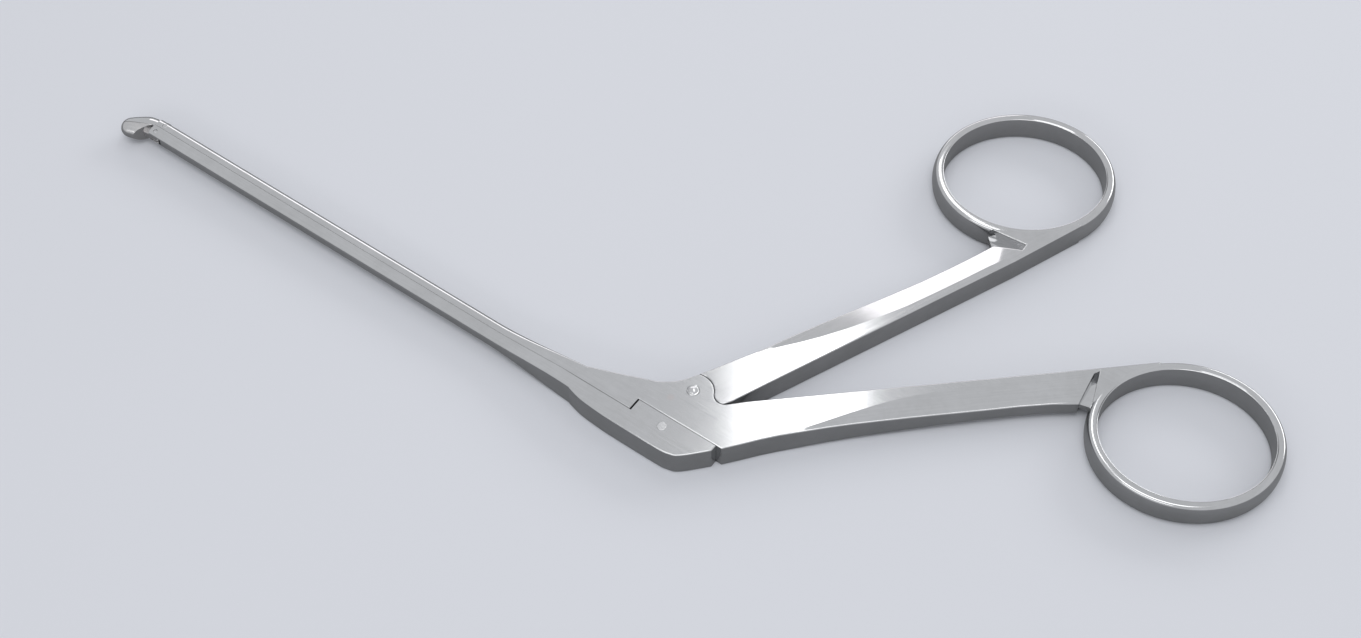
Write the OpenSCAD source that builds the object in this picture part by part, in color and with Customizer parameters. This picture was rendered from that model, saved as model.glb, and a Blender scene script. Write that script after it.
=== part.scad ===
// Micro ear forceps with ring handles, lying flat on its side with the jaws shut.
// The pivot pin of the handles stands on the Z axis and z = 0 is the surface that it lies on.
// The shaft points along -X. +Y is the finger side, -Y is the side of the slider.
// The fixed frame is one forging: fixed jaw, upper half of the shaft, body, thumb shank and ring.
// The slider is the lower half of the shaft. The finger handle drives it through a pin, and its
// front end turns the lower jaw.

/* [Shaft] */
// Distance from the jaw pin to the pivot pin of the handles
shaft_len = 92.4; // [75:0.5:115]
// Width of the shaft across the seam
shaft_w = 3.3; // [3:0.1:4]
// Thickness of the shaft
shaft_h = 2.4; // [2.2:0.1:3.2]
// Radius along the outer corners of the shaft
shaft_r = 0.95; // [0.6:0.05:1.05]
// Length over which the shaft widens into the body
flare_len = 15; // [10:0.5:22]

/* [Body] */
// Thickness of the body, the shanks and the finger rings
body_t = 4; // [3.6:0.1:5]
// Distance from the pivot pin to the front end of the flat body
body_front = 14; // [11:0.5:17]
// Distance from the pivot pin down to the rear slide face
slide_drop = 5.4; // [5:0.1:5.8]
// Distance from the pivot pin down to the seam of the shaft
seam_drop = 7.35; // [7.1:0.05:7.6]
// Distance from the pivot pin down to the underside of the slider block
belly_drop = 10.5; // [10.2:0.1:11.5]
// Distance from the pivot pin forward to the step of the slider
step_front = 5.25; // [4:0.25:7]
// Distance from the pivot pin back to the blunt rear end of the slider
slider_rear = 7.65; // [6.5:0.05:7.8]
// Radius of the body's round head about the pivot pin
head_r = 2.85; // [2.6:0.05:3.1]
// Radius of the stop lobe of the finger handle
lobe_r = 1.55; // [1.3:0.05:1.8]
// Bevel along the outer edges of body and handles
bevel = 0.2; // [0.1:0.05:0.3]

/* [Handles] */
// Direction of the thumb shank, from the shaft's axis
thumb_angle = 42.5; // [40:0.5:44]
// Distance from the pivot pin's axis to the inner edge of the thumb shank
thumb_in = 2.6; // [2.4:0.05:2.8]
// Length of the thumb shank from the pivot pin to the ring notch
thumb_len = 55.2; // [48:0.2:66]
// Direction of the finger shank, from the shaft's axis
finger_angle = 66.7; // [66:0.1:70]
// Distance from the pivot pin's axis to the inner edge of the finger shank
finger_in = 4.2; // [4.1:0.05:4.3]
// Length of the finger shank from the pivot pin to the ring notch
finger_len = 53.8; // [47:0.2:64]
// Drop of the ground facet at the outer edge of each shank, by the ring
facet_drop = 0.85; // [0.4:0.05:1.1]

/* [Finger rings] */
// Long inner width of the rings
ring_long = 23.7; // [21:0.1:28]
// Short inner width of the rings
ring_short = 21.1; // [19:0.1:26]
// Thickness of the ring band, from the hole outwards
ring_w = 1.55; // [1.3:0.05:2]
// How far the band swells into the hole at half height
ring_swell = 0.15; // [0.05:0.05:0.3]
// Direction of the long width of the thumb ring
thumb_ring_turn = 30.5; // [20:0.5:45]
// Direction of the long width of the finger ring
finger_ring_turn = 35.5; // [25:0.5:50]

/* [Pins and tang] */
// Radius of the pivot pin
pivot_r = 0.85; // [0.7:0.05:1]
// Height of the domed head of the pivot pin
dome_h = 0.12; // [0.05:0.01:0.2]
// Distance from the pivot pin down to the drive pin
drive_drop = 7.2; // [7:0.05:7.4]
// Radius of the drive pin
drive_r = 0.65; // [0.5:0.05:0.75]
// Thickness of the finger handle's tang
tang_t = 1.5; // [1.2:0.1:1.7]
// Radius of the jaw pin
jaw_pin_r = 0.38; // [0.3:0.02:0.42]
// Radius of the link pin in the slider
link_pin_r = 0.32; // [0.26:0.02:0.34]

/* [Jaws] */
// Opening angle of the lower jaw
jaw_open = 35; // [25:1:38]
// Lever from the jaw pin to the link pin
jaw_lever = 1.6; // [1.45:0.05:1.65]
// Distance from the seam up to the jaw pin
jaw_pin_rise = 0.6; // [0.55:0.05:0.7]
// Length of the cups ahead of the jaw pin
jaw_len = 5.05; // [4.5:0.05:6.5]
// Radius of the closed cups, seen from above as it lies
cup_r = 1.6; // [1.4:0.05:1.75]
// Thickness of the closed cups, as they lie
cup_t = 2.7; // [2.3:0.1:3.2]
// Wall of the cups
cup_wall = 0.5; // [0.4:0.05:0.7]
// Thickness of the lower jaw's root
root_t = 0.9; // [0.7:0.05:1.1]

/* [Fits] */
// Gap between sliding faces
slide_gap = 0.06; // [0.04:0.01:0.1]
// Gap between a moving piece and the slot around it
slot_gap = 0.08; // [0.06:0.01:0.12]
// Running clearance of a pin in its bore
pin_gap = 0.04; // [0.02:0.01:0.06]
// Gap at the slider's step and in the valley with the jaws shut
stop_gap = 0.1; // [0.06:0.02:0.2]

/* [Hidden] */
$fn = 48;
mid = body_t / 2;
seam_y = -seam_drop;
slide_y = -slide_drop;
shaft_top = seam_y + shaft_w / 2;
shaft_low = seam_y - shaft_w / 2;

// Jaw hinge: the link pin swings half the opening angle to either side of straight down.
jaw_x = -shaft_len;
jaw_y = seam_y + jaw_pin_rise;
swing = jaw_open / 2;
link_x = jaw_x - jaw_lever * sin(swing);
link_y = jaw_y - jaw_lever * cos(swing);
stroke = 2 * jaw_lever * sin(swing);
link_slack = jaw_lever * (1 - cos(swing));
handle_open = atan(stroke / drive_drop);
drive_slack = drive_drop / cos(handle_open) - drive_drop;

// The cups: two ball centres for each, on the line of the bite.
tip = [jaw_x - jaw_len + 0.35, seam_y - 1.85];
upper_root = [jaw_x - 2.5, seam_y - 0.1];
lower_root = [jaw_x - 2.5, seam_y - 1.05];
neck = [jaw_x - 1, seam_y + 0.3];
bite_root = [jaw_x - 1.7, seam_y - 0.3];
bite_angle = atan2(bite_root[1] - tip[1], bite_root[0] - tip[0]);
slider_front = jaw_x - 1.4;

// A point u along a shank and q to the right of it, seen from above.
function along(a, u, q) = [u * cos(a) + q * sin(a), u * sin(a) - q * cos(a)];
function lerp(a, b, t) = a + (b - a) * t;
function unit(v) = v / norm(v);

// Smooth curve through points, n steps to each span.
function bend(p0, p1, p2, p3, t) = 0.5 * ((2 * p1) + (p2 - p0) * t + (2 * p0 - 5 * p1 + 4 * p2 - p3) * t * t
    + (3 * p1 - p0 - 3 * p2 + p3) * t * t * t);
function curve(p, n) = [
    for (i = [0:len(p) - 2])
        for (k = [0:n - 1])
            bend(p[max(i - 1, 0)], p[i], p[i + 1], p[min(i + 2, len(p) - 1)], k / n),
    p[len(p) - 1]
];
function arc(c, r, a0, a1, n) = [for (k = [0:n]) let (a = lerp(a0, a1, k / n)) c + r * [cos(a), sin(a)]];

// Width of each shank from its inner edge, by the distance from the pivot pin.
thumb_table = [[2.7, 7.25], [7.9, 6.35], [10.6, 6], [18.8, 5.2], [27, 4.85], [35, 4.65], [43, 4.5], [48.8, 4.65], [52, 5]];
finger_table = [[7.7, 5.65], [11.2, 5.3], [17.6, 5.2], [24, 4.95], [30.3, 4.6], [40.2, 4.25], [47.2, 4.3], [50, 4.45]];
function thumb_w(u) = lookup(u * 55.2 / thumb_len, thumb_table);
function finger_w(u) = lookup(u * 53.8 / finger_len, finger_table);
// The flat strip beside the inner edge narrows from the full width to a thin line by the ring.
strip_table = [[0.17, 1.06], [0.19, 1], [0.25, 0.86], [0.34, 0.6], [0.46, 0.38], [0.62, 0.27], [0.8, 0.2], [1, 0.16]];
// Slope of the ground facet, which grows towards the ring.
slope_table = [[0.17, 0.12], [0.34, 0.12], [0.46, 0.15], [0.62, 0.21], [1, 0.21]];

// The stop valley: a round seat that joins the head's arc without a corner.
valley_turn = 26.3;
valley = (head_r + lobe_r) * [cos(valley_turn), sin(valley_turn)];

// Skin over rows of points, closed around each row and capped at both ends.
// Turn swaps the side that faces out.
module skin(rows, turn) {
    n = len(rows);
    m = len(rows[0]);
    points = [for (r = rows) for (p = r) p];
    quads = [
        for (i = [0:n - 2])
            for (j = [0:m - 1])
                let (a = i * m + j, b = i * m + (j + 1) % m, c = b + m, d = a + m)
                    each [[a, b, c], [a, c, d]]
    ];
    caps = [[for (j = [m - 1:-1:0]) j], [for (j = [0:m - 1]) (n - 1) * m + j]];
    all = concat(quads, caps);
    polyhedron(points, turn ? [for (f = all) [for (k = [len(f) - 1:-1:0]) f[k]]] : all);
}

// Wedge that grinds one facet of a shank, on the upper or the lower side. It starts just outside the outer
// edge and its crease wanders across the flat face towards the ring. Side is 1 when the outer edge lies to the right.
module facet_cut(a, q_in, side, widths, len_in, up) {
    rows = [
        for (f = [0.17, 0.21, 0.25, 0.3, 0.36, 0.43, 0.51, 0.6, 0.7, 0.8, 0.9, 1.04])
            let (
                w = lookup(f, widths),
                c = w * lookup(f, strip_table),
                fall = facet_drop / 0.85 * lookup(f, slope_table),
                over = 1.5
            )
            [
                for (p = [[c - 1, fall], [c - 1, 2], [w + over, 2], [w + over, fall * (c - w - over)]])
                    let (xy = along(a, f * len_in, q_in + side * p[0]))
                        [xy[0], xy[1], up ? body_t + p[1] : -p[1]]
            ]
    ];
    skin(rows, side > 0 == up);
}

// Point on the ring's oval, offset outwards from the hole's edge.
function oval(c, turn, t, off) =
    let (
        a = ring_long / 2,
        b = ring_short / 2,
        n = unit([b * cos(t), a * sin(t)]),
        p = [a * cos(t) + n[0] * off, b * sin(t) + n[1] * off]
    )
    c + [p[0] * cos(turn) - p[1] * sin(turn), p[0] * sin(turn) + p[1] * cos(turn)];

module ring(c, turn) {
    steps = 60;
    half = [
        [-ring_swell, mid], [-0.6 * ring_swell, body_t * 0.8], [0.1, body_t - 0.12], [0.25, body_t], [0.55 * ring_w, body_t],
        [0.86 * ring_w, body_t - 0.45], [0.97 * ring_w, body_t * 0.7], [ring_w, mid]
    ];
    section = concat(half, [for (i = [len(half) - 2:-1:1]) [half[i][0], body_t - half[i][1]]]);
    m = len(section);
    points = [
        for (k = [0:steps - 1])
            for (s = section)
                let (p = oval(c, turn, k * 360 / steps, s[0])) [p[0], p[1], s[1]]
    ];
    faces = [
        for (k = [0:steps - 1])
            for (j = [0:m - 1])
                let (a = k * m + j, b = k * m + (j + 1) % m, d = ((k + 1) % steps) * m + j, e = ((k + 1) % steps) * m + (j + 1) % m)
                    each [[a, e, b], [a, d, e]]
    ];
    polyhedron(points, faces);
}

// Flat web that carries the ring on the end of its shank, from the notch's point to the band.
module ring_web(notch, side_point, c, turn, t0, t1) {
    n = 14;
    band = [for (k = [0:n]) oval(c, turn, lerp(t0, t1, k / n), ring_w * (k == 0 ? 0.86 : 0.4))];
    translate([0, 0, 0.02])
        linear_extrude(body_t - 0.04)
            polygon(concat([notch, side_point], band));
}

// Thinner bridge at the foot of the notch, between the slanted end and the band.
module notch_bridge(points) {
    translate([0, 0, mid - 0.85])
        linear_extrude(1.7)
            polygon(points);
}

// Centres of the two rings, which touch the line of their shank's inner edge.
thumb_ring_c = along(thumb_angle, thumb_len + 9.4, thumb_in + ring_short / 2 + 1.35);
finger_ring_c = along(finger_angle, finger_len + 7.9, finger_in - ring_short / 2 - 2.1);
thumb_notch = along(thumb_angle, thumb_len + 0.2, thumb_in + 0.5);
finger_notch = along(finger_angle, finger_len, finger_in - 1.75);

// Outline of the body with the slider block in it, the head and the root of the thumb shank.
function inner_line(u) = along(thumb_angle, u, thumb_in);
function outer_line(u) = along(thumb_angle, u, thumb_in + thumb_w(u));
heel = outer_line(2.4);
concave = curve([
        head_r * [-0.33, 0.965],
        head_r * [-0.86, 0.13],
        [-4.55, head_r * -0.48],
        lerp([-4.55, head_r * -0.48], [-body_front, shaft_top + 0.6], 0.26) + [0, -0.05],
        lerp([-4.55, head_r * -0.48], [-body_front, shaft_top + 0.6], 0.55) + [0, -0.1],
        [-body_front, shaft_top + 0.6]
    ], 4);
belly = curve([
        [-body_front, shaft_low - 0.5],
        [-body_front + 2.4, -belly_drop + 0.4],
        [-body_front + 5.8, -belly_drop + 0.1],
        [-step_front, -belly_drop + 0.02],
        [1.2, -belly_drop],
        [3.3, -belly_drop + 0.22],
        [4.9, -belly_drop + 1.05],
        heel
    ], 3);
head = arc([0, 0], head_r, valley_turn, 107, 10);
seat = arc(valley, lobe_r, 305, 180 + valley_turn, 7);

// Slant of the shanks' ends at the notch, along the shank.
end_slant = 3.6;

// Fixed frame seen from above: slider block, thumb shank, seat, head and the edge to the shaft.
frame_outline = concat(
    belly,
    [for (u = [5, 8, 10.6, 18.8, 27, 35, 43, 48.8]) outer_line(u)],
    [along(thumb_angle, thumb_len - end_slant, thumb_in + thumb_w(thumb_len))],
    [inner_line(thumb_len), inner_line(7)],
    seat,
    [for (k = [1:len(head) - 1]) head[k]],
    [for (k = [1:len(concave) - 1]) concave[k]]
);

// Finger handle seen from above: root round the head, inner edge, slanted end and outer edge.
function finger_outer(u) = along(finger_angle, u, finger_in - finger_w(u));
finger_outline = concat(
    curve([
            finger_outer(8),
            lerp(finger_outer(8), (head_r + slide_gap) * [-0.3, 0.954], 0.5) + [0.02, -0.03],
            (head_r + slide_gap) * [-0.3, 0.954]
        ], 3),
    arc([0, 0], head_r + slide_gap, 101, valley_turn + 4, 8),
    arc(valley, lobe_r - slide_gap, 180 + valley_turn, 296, 6),
    [for (u = [3.6, finger_len]) along(finger_angle, u, finger_in)],
    [along(finger_angle, finger_len - end_slant, finger_in - finger_w(finger_len))],
    [for (u = [47.2, 40.2, 30.3, 24, 17.6, 11.2]) finger_outer(u)]
);

// Rounded section of the shaft at one station, from the top seam round to the bottom seam and on.
function shaft_row(x, w_up, w_low, h, r) = let (n = 3) [
        for (c = [
                [w_up - r, h / 2 - r, 0], [r - w_low, h / 2 - r, 90], [r - w_low, r - h / 2, 180], [w_up - r, r - h / 2, 270]
            ])
            for (k = [0:n])
                let (a = c[2] + 90 * k / n)
                    [x, seam_y + c[0] + r * cos(a), mid + c[1] + r * sin(a)]
    ];
module shaft_blank() {
    half = shaft_w / 2;
    x_end = -body_front - flare_len;
    rows = concat(
        [shaft_row(jaw_x - 1.4, half, half, shaft_h, shaft_r)],
        [shaft_row(x_end - 12, half, half, shaft_h, shaft_r)],
        [
            for (k = [0:8])
                let (t = k / 8, s = t * t * (3 - 2 * t))
                    shaft_row(
                        lerp(x_end, -body_front + 0.6, t),
                        half + 0.15 * t + 0.41 * t * t * t,
                        half + 0.2 * t + 0.27 * t * t * t,
                        lerp(shaft_h, body_t - 0.06, s),
                        lerp(shaft_r, bevel, s)
                    )
        ]
    );
    skin(rows, true);
}

// Everything below the slide faces, moved down by a gap. The step lies ahead of the pivot pin.
module slider_zone(gap, step_gap, rear) {
    translate([0, 0, -1])
        linear_extrude(body_t + 2)
            polygon([
                [slider_front + gap, seam_y - gap],
                [slider_front + gap, -30],
                [rear, -30],
                [rear, slide_y - gap],
                [-step_front + step_gap, slide_y - gap],
                [-step_front + step_gap, seam_y - gap]
            ]);
}

// T-shaped rail of the slider, which runs in the groove of the fixed half.
module rail(x0, x1, gap) {
    neck_t = 0.5 + 2 * gap;
    head_t = 1.1 + 2 * gap;
    translate([x0, seam_y - 0.4, mid - neck_t / 2])
        cube([x1 - x0, 0.4 + 0.5, neck_t]);
    translate([x0, seam_y + 0.4 - gap, mid - head_t / 2])
        cube([x1 - x0, 0.4 + 2 * gap, head_t]);
}

// Ball of the cups, slightly flattened.
module ball(p, r) {
    translate([p[0], p[1], mid])
        scale([1, 1, cup_t / 2 / cup_r])
            sphere(r = r, $fn = 32);
}
// Half space above or below the line of the bite.
module bite_side(up, gap) {
    translate([tip[0], tip[1], -1])
        rotate([0, 0, bite_angle])
            translate([-5, up ? gap : -10 - gap, 0])
                cube([20, 10, body_t + 2]);
}
module cup_hollow() {
    hull() {
        ball(tip + [0.25, 0.15], cup_r - cup_wall);
        ball(lerp(tip, lerp(upper_root, lower_root, 0.5), 0.55), cup_r - cup_wall);
    }
}

// Plate on edge from one pin's boss to another, with straight flanks that touch both circles.
module link(p, rp, q, rq) {
    d = norm(q - p);
    a = atan2(q[1] - p[1], q[0] - p[0]);
    b = acos((rp - rq) / d);
    translate(p)
        circle(r = rp);
    translate(q)
        circle(r = rq);
    polygon([
        p + rp * [cos(a + b), sin(a + b)],
        p + rp * [cos(a - b), sin(a - b)],
        q + rq * [cos(a - b), sin(a - b)],
        q + rq * [cos(a + b), sin(a + b)]
    ]);
}

tang_r = 2;
tang_end_r = 1.5;

module frame_blank() {
    widths = [for (p = thumb_table) [p[0] / 55.2, p[1]]];
    difference() {
        linear_extrude(body_t)
            polygon(frame_outline);
        facet_cut(thumb_angle, thumb_in, 1, widths, thumb_len, true);
        facet_cut(thumb_angle, thumb_in, 1, widths, thumb_len, false);
    }
}

module finger_blank() {
    widths = [for (p = finger_table) [p[0] / 53.8, p[1]]];
    difference() {
        linear_extrude(body_t)
            polygon(finger_outline);
        facet_cut(finger_angle, finger_in, -1, widths, finger_len, true);
        facet_cut(finger_angle, finger_in, -1, widths, finger_len, false);
    }
}

module fixed_frame() {
    color([0.72, 0.73, 0.75])
    difference() {
        union() {
            frame_blank();
            shaft_blank();
            ring_web(thumb_notch, along(thumb_angle, thumb_len - 1, thumb_in - 0.05), thumb_ring_c, thumb_ring_turn, 103, 166);
            ring(thumb_ring_c, thumb_ring_turn);
            notch_bridge(concat(
                [along(thumb_angle, thumb_len - 1.2, thumb_in + 0.35), along(thumb_angle, thumb_len - 4, thumb_in + 4.2)],
                [for (t = [160, 144, 128, 112]) oval(thumb_ring_c, thumb_ring_turn, t, 0.75)]
            ));
            intersection() {
                hull() {
                    ball(neck, 1.32);
                    ball(upper_root, cup_r);
                    ball(tip, cup_r);
                }
                bite_side(true, 0.03);
            }
        }
        // The slider's side of the seam.
        slider_zone(0, 0, 40);
        // Slot for the tang, open at the head and at the slide face.
        translate([0, 0, mid - tang_t / 2 - slot_gap])
            linear_extrude(tang_t + 2 * slot_gap)
                polygon([[-2.7, slide_y - 1], [3.1, slide_y - 1], [3.1, 4], [-6, 8], [-6, 1.2], [-3.4, -1.6]]);
        // Pivot pin bore.
        translate([0, 0, -1])
            cylinder(r = pivot_r, h = body_t + 2);
        // Groove for the slider's rail.
        rail(jaw_x + 6, -body_front - 4, slide_gap);
        // Fork for the lower jaw's root and its pin bore.
        translate([jaw_x - 2.6, seam_y - 3, mid - root_t / 2 - slot_gap])
            cube([3.7, 3 + jaw_pin_rise + 0.78 + slot_gap, root_t + 2 * slot_gap]);
        translate([jaw_x, jaw_y, -1])
            cylinder(r = jaw_pin_r, h = body_t + 2);
        cup_hollow();
    }
}

module finger_handle() {
    color([0.74, 0.75, 0.77])
    difference() {
        union() {
            finger_blank();
            ring_web(finger_notch, along(finger_angle, finger_len - 3, finger_in + 0.05), finger_ring_c, finger_ring_turn, 304, 228);
            ring(finger_ring_c, finger_ring_turn);
            notch_bridge(concat(
                [along(finger_angle, finger_len - 1.2, finger_in - 0.8), along(finger_angle, finger_len - 3.9, finger_in - 3.9)],
                [for (t = [240, 255, 270, 285]) oval(finger_ring_c, finger_ring_turn, t, 0.75)]
            ));
            translate([0, 0, mid - tang_t / 2])
                linear_extrude(tang_t) {
                    link([0, 0], tang_r, [0, -drive_drop], tang_end_r);
                    polygon([[-2, 0], [2, 0], [2.7, 1.25], [3.1, 4.6], [0.3, 4.6], [-1, 2.7]]);
                }
        }
        translate([0, 0, -1])
            cylinder(r = pivot_r + pin_gap, h = body_t + 2);
        // Slot for the drive pin, long enough for the whole stroke.
        translate([0, 0, -1])
            linear_extrude(body_t + 2) {
                translate([0, -drive_drop])
                    circle(r = drive_r + pin_gap);
                translate([0, -drive_drop - drive_slack])
                    circle(r = drive_r + pin_gap);
                translate([-drive_r - pin_gap, -drive_drop - drive_slack])
                    square([2 * (drive_r + pin_gap), drive_slack]);
            }
    }
}

module slider() {
    color([0.7, 0.71, 0.73])
    difference() {
        union() {
            intersection() {
                union() {
                    frame_blank();
                    shaft_blank();
                }
                slider_zone(slide_gap, 2 * stop_gap, slider_rear);
            }
            rail(jaw_x + 6 + slide_gap, -body_front - 4 - stroke - slide_gap, 0);
        }
        // Pocket for the end of the tang.
        translate([-2.3, -drive_drop - tang_end_r - 0.3, mid - tang_t / 2 - slot_gap])
            cube([4.6, 8, tang_t + 2 * slot_gap]);
        translate([0, -drive_drop, -1])
            cylinder(r = drive_r, h = body_t + 2);
        // Fork for the lower jaw's root.
        translate([slider_front - 1, seam_y - shaft_w, mid - root_t / 2 - slot_gap])
            cube([3.4, 2 * shaft_w, root_t + 2 * slot_gap]);
        translate([link_x, link_y, -1])
            cylinder(r = link_pin_r, h = body_t + 2);
    }
}

module lower_jaw() {
    color([0.76, 0.77, 0.79])
    difference() {
        union() {
            intersection() {
                hull() {
                    ball(lower_root, cup_r);
                    ball(tip, cup_r);
                }
                bite_side(false, 0.03);
                // Back of the cup, slanted so that it clears the slider when the jaw is open.
                translate([jaw_x - 1.7, seam_y - 0.35, -1])
                    rotate([0, 0, 240])
                        translate([-10, -20, 0])
                            cube([30, 20, body_t + 2]);
            }
            translate([0, 0, mid - root_t / 2])
                linear_extrude(root_t) {
                    link([jaw_x, jaw_y], 0.74, [link_x, link_y], 0.56);
                    polygon([
                        [jaw_x, jaw_y + 0.2],
                        [link_x + 0.1, link_y - 0.5],
                        [jaw_x - 2.4, seam_y - 1.7],
                        [jaw_x - 2.2, seam_y - 0.7],
                        [jaw_x - 1.2, jaw_y - 0.1]
                    ]);
                }
        }
        translate([jaw_x, jaw_y, -1])
            cylinder(r = jaw_pin_r + pin_gap, h = body_t + 2);
        // Slot for the link pin, along the lever.
        translate([0, 0, -1])
            linear_extrude(body_t + 2)
                link([link_x, link_y], link_pin_r + pin_gap, [link_x, link_y]
                    + link_slack * [sin(swing), cos(swing)], link_pin_r + pin_gap);
        cup_hollow();
    }
}

module pivot_pin() {
    color([0.8, 0.8, 0.82]) {
        cylinder(r = pivot_r, h = body_t);
        translate([0, 0, body_t])
            intersection() {
                cylinder(r = pivot_r, h = 1);
                translate([0, 0, dome_h - (pivot_r * pivot_r + dome_h * dome_h) / 2 / dome_h])
                    sphere(r = (pivot_r * pivot_r + dome_h * dome_h) / 2 / dome_h, $fn = 96);
            }
    }
}

module drive_pin() {
    color([0.8, 0.8, 0.82])
    translate([0, -drive_drop, 0])
        cylinder(r = drive_r, h = body_t);
}

module jaw_pin() {
    color([0.8, 0.8, 0.82])
    translate([jaw_x, jaw_y, mid - shaft_h / 2 + 0.02])
        cylinder(r = jaw_pin_r, h = shaft_h - 0.04);
}

module link_pin() {
    color([0.8, 0.8, 0.82])
    translate([link_x, link_y, mid - shaft_h / 2 + 0.12])
        cylinder(r = link_pin_r, h = shaft_h - 0.24);
}

fixed_frame();
finger_handle();
slider();
lower_jaw();
pivot_pin();
drive_pin();
jaw_pin();
link_pin();
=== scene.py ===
"""Micro ear forceps with ring handles, lying flat on its side with the jaws shut.

All plans are in millimetres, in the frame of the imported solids: the pivot pin stands on the Z axis, the
shaft points along -X and z = 0 is the surface that the forceps lies on. Meshes are written in metres.
"""

import logging
import math
from dataclasses import dataclass, field
from enum import Enum

import bmesh
import bpy
import numpy as np
from mathutils import Matrix, Vector


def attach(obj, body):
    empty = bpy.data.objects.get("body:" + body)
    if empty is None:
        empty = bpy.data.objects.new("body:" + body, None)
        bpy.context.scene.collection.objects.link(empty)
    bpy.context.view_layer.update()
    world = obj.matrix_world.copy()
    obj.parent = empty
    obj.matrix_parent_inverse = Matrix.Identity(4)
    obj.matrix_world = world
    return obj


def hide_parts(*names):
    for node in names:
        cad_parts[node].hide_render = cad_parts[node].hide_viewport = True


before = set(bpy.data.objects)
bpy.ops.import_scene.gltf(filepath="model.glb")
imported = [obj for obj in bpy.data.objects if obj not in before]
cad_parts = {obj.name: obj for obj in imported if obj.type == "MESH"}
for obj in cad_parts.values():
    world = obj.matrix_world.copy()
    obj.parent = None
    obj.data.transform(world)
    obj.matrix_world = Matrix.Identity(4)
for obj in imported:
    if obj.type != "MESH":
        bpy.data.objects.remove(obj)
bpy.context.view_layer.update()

logging.basicConfig(level=logging.INFO, format="%(name)s: %(message)s")
LOG = logging.getLogger("forceps")

Array = np.ndarray
METRES = 0.001
CAPTION_SIZE = (1361, 638)


# ---------------------------------------------------------------- sizes


@dataclass(frozen=True)
class Plan:
    """Sizes of the forceps in millimetres and degrees, the same as in its solids."""

    shaft_len: float = 92.4
    shaft_w: float = 3.3
    shaft_h: float = 2.4
    shaft_r: float = 0.95
    flare_len: float = 15.0
    body_t: float = 4.0
    body_front: float = 14.0
    slide_drop: float = 5.4
    seam_drop: float = 7.35
    belly_drop: float = 10.5
    step_front: float = 5.25
    slider_rear: float = 7.65
    head_r: float = 2.85
    lobe_r: float = 1.55
    thumb_angle: float = 42.5
    thumb_in: float = 2.6
    thumb_len: float = 55.2
    finger_angle: float = 66.7
    finger_in: float = 4.2
    finger_len: float = 53.8
    facet_drop: float = 0.85
    end_slant: float = 3.6
    ring_long: float = 23.7
    ring_short: float = 21.1
    ring_w: float = 1.55
    ring_swell: float = 0.15
    thumb_ring_turn: float = 30.5
    finger_ring_turn: float = 35.5
    pivot_r: float = 0.85
    dome_h: float = 0.12
    drive_drop: float = 7.2
    drive_r: float = 0.65
    tang_t: float = 1.5
    jaw_pin_r: float = 0.38
    link_pin_r: float = 0.32
    jaw_open: float = 35.0
    jaw_lever: float = 1.6
    jaw_pin_rise: float = 0.6
    jaw_len: float = 5.05
    cup_r: float = 1.6
    cup_t: float = 2.7
    cup_wall: float = 0.5
    root_t: float = 0.9
    slide_gap: float = 0.06
    slot_gap: float = 0.08
    pin_gap: float = 0.04
    stop_gap: float = 0.1
    valley_turn: float = 26.3

    @property
    def mid(self) -> float:
        """Half height of the forceps as it lies."""
        return self.body_t / 2

    @property
    def seam_y(self) -> float:
        """Line of the seam along the shaft."""
        return -self.seam_drop

    @property
    def slide_y(self) -> float:
        """Line of the rear slide face."""
        return -self.slide_drop

    @property
    def jaw_pin(self) -> Array:
        """Centre of the jaw pin, seen from above."""
        return np.array([-self.shaft_len, self.seam_y + self.jaw_pin_rise])

    @property
    def link_pin(self) -> Array:
        """Centre of the link pin, half the opening angle before straight down."""
        swing = math.radians(self.jaw_open / 2)
        return self.jaw_pin - self.jaw_lever * np.array([math.sin(swing), math.cos(swing)])

    @property
    def tip(self) -> Array:
        """Centre of the ball at the end of the cups."""
        return np.array([-self.shaft_len - self.jaw_len + 0.35, self.seam_y - 1.85])

    @property
    def bite_root(self) -> Array:
        """Rear end of the line where the cups meet."""
        return np.array([-self.shaft_len - 1.7, self.seam_y - 0.3])

    @property
    def valley(self) -> Array:
        """Centre of the stop lobe, which touches the head from outside."""
        turn = math.radians(self.valley_turn)
        return (self.head_r + self.lobe_r) * np.array([math.cos(turn), math.sin(turn)])

    @property
    def thumb_ring(self) -> Array:
        """Centre of the thumb ring."""
        return along(self.thumb_angle, self.thumb_len + 9.4, self.thumb_in + self.ring_short / 2 + 1.35)

    @property
    def finger_ring(self) -> Array:
        """Centre of the finger ring."""
        return along(self.finger_angle, self.finger_len + 7.9, self.finger_in - self.ring_short / 2 - 2.1)


# ---------------------------------------------------------------- plane curves


def along(angle: float, u: float | Array, q: float | Array) -> Array:
    """Points beside a line from the pivot: u along its direction and q to the right of it.

    Args:
        angle: Direction of the line in degrees.
        u: Distance along the line.
        q: Distance to the right of the line.

    Returns:
        One point, or rows of points, in the plane.
    """
    turn = math.radians(angle)
    u, q = np.broadcast_arrays(np.asarray(u, float), np.asarray(q, float))
    return np.stack([u * math.cos(turn) + q * math.sin(turn), u * math.sin(turn) - q * math.cos(turn)], -1)


def smooth_curve(knots: Array, steps: int) -> Array:
    """Curve through knots: each span is the cubic whose slope at a knot is half the way from the last to the next.

    Args:
        knots: Rows of points.
        steps: Points on each span.

    Returns:
        Rows of points, with the last knot.
    """
    padded = np.vstack([knots[:1], knots, knots[-1:]])
    p0, p1, p2, p3 = (padded[k : len(knots) - 1 + k, None] for k in range(4))
    t = (np.arange(steps) / steps)[None, :, None]
    cubic = 2 * p1 + (p2 - p0) * t + (2 * p0 - 5 * p1 + 4 * p2 - p3) * t**2 + (3 * p1 - p0 - 3 * p2 + p3) * t**3
    return np.vstack([cubic.reshape(-1, knots.shape[1]) / 2, knots[-1:]])


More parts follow.
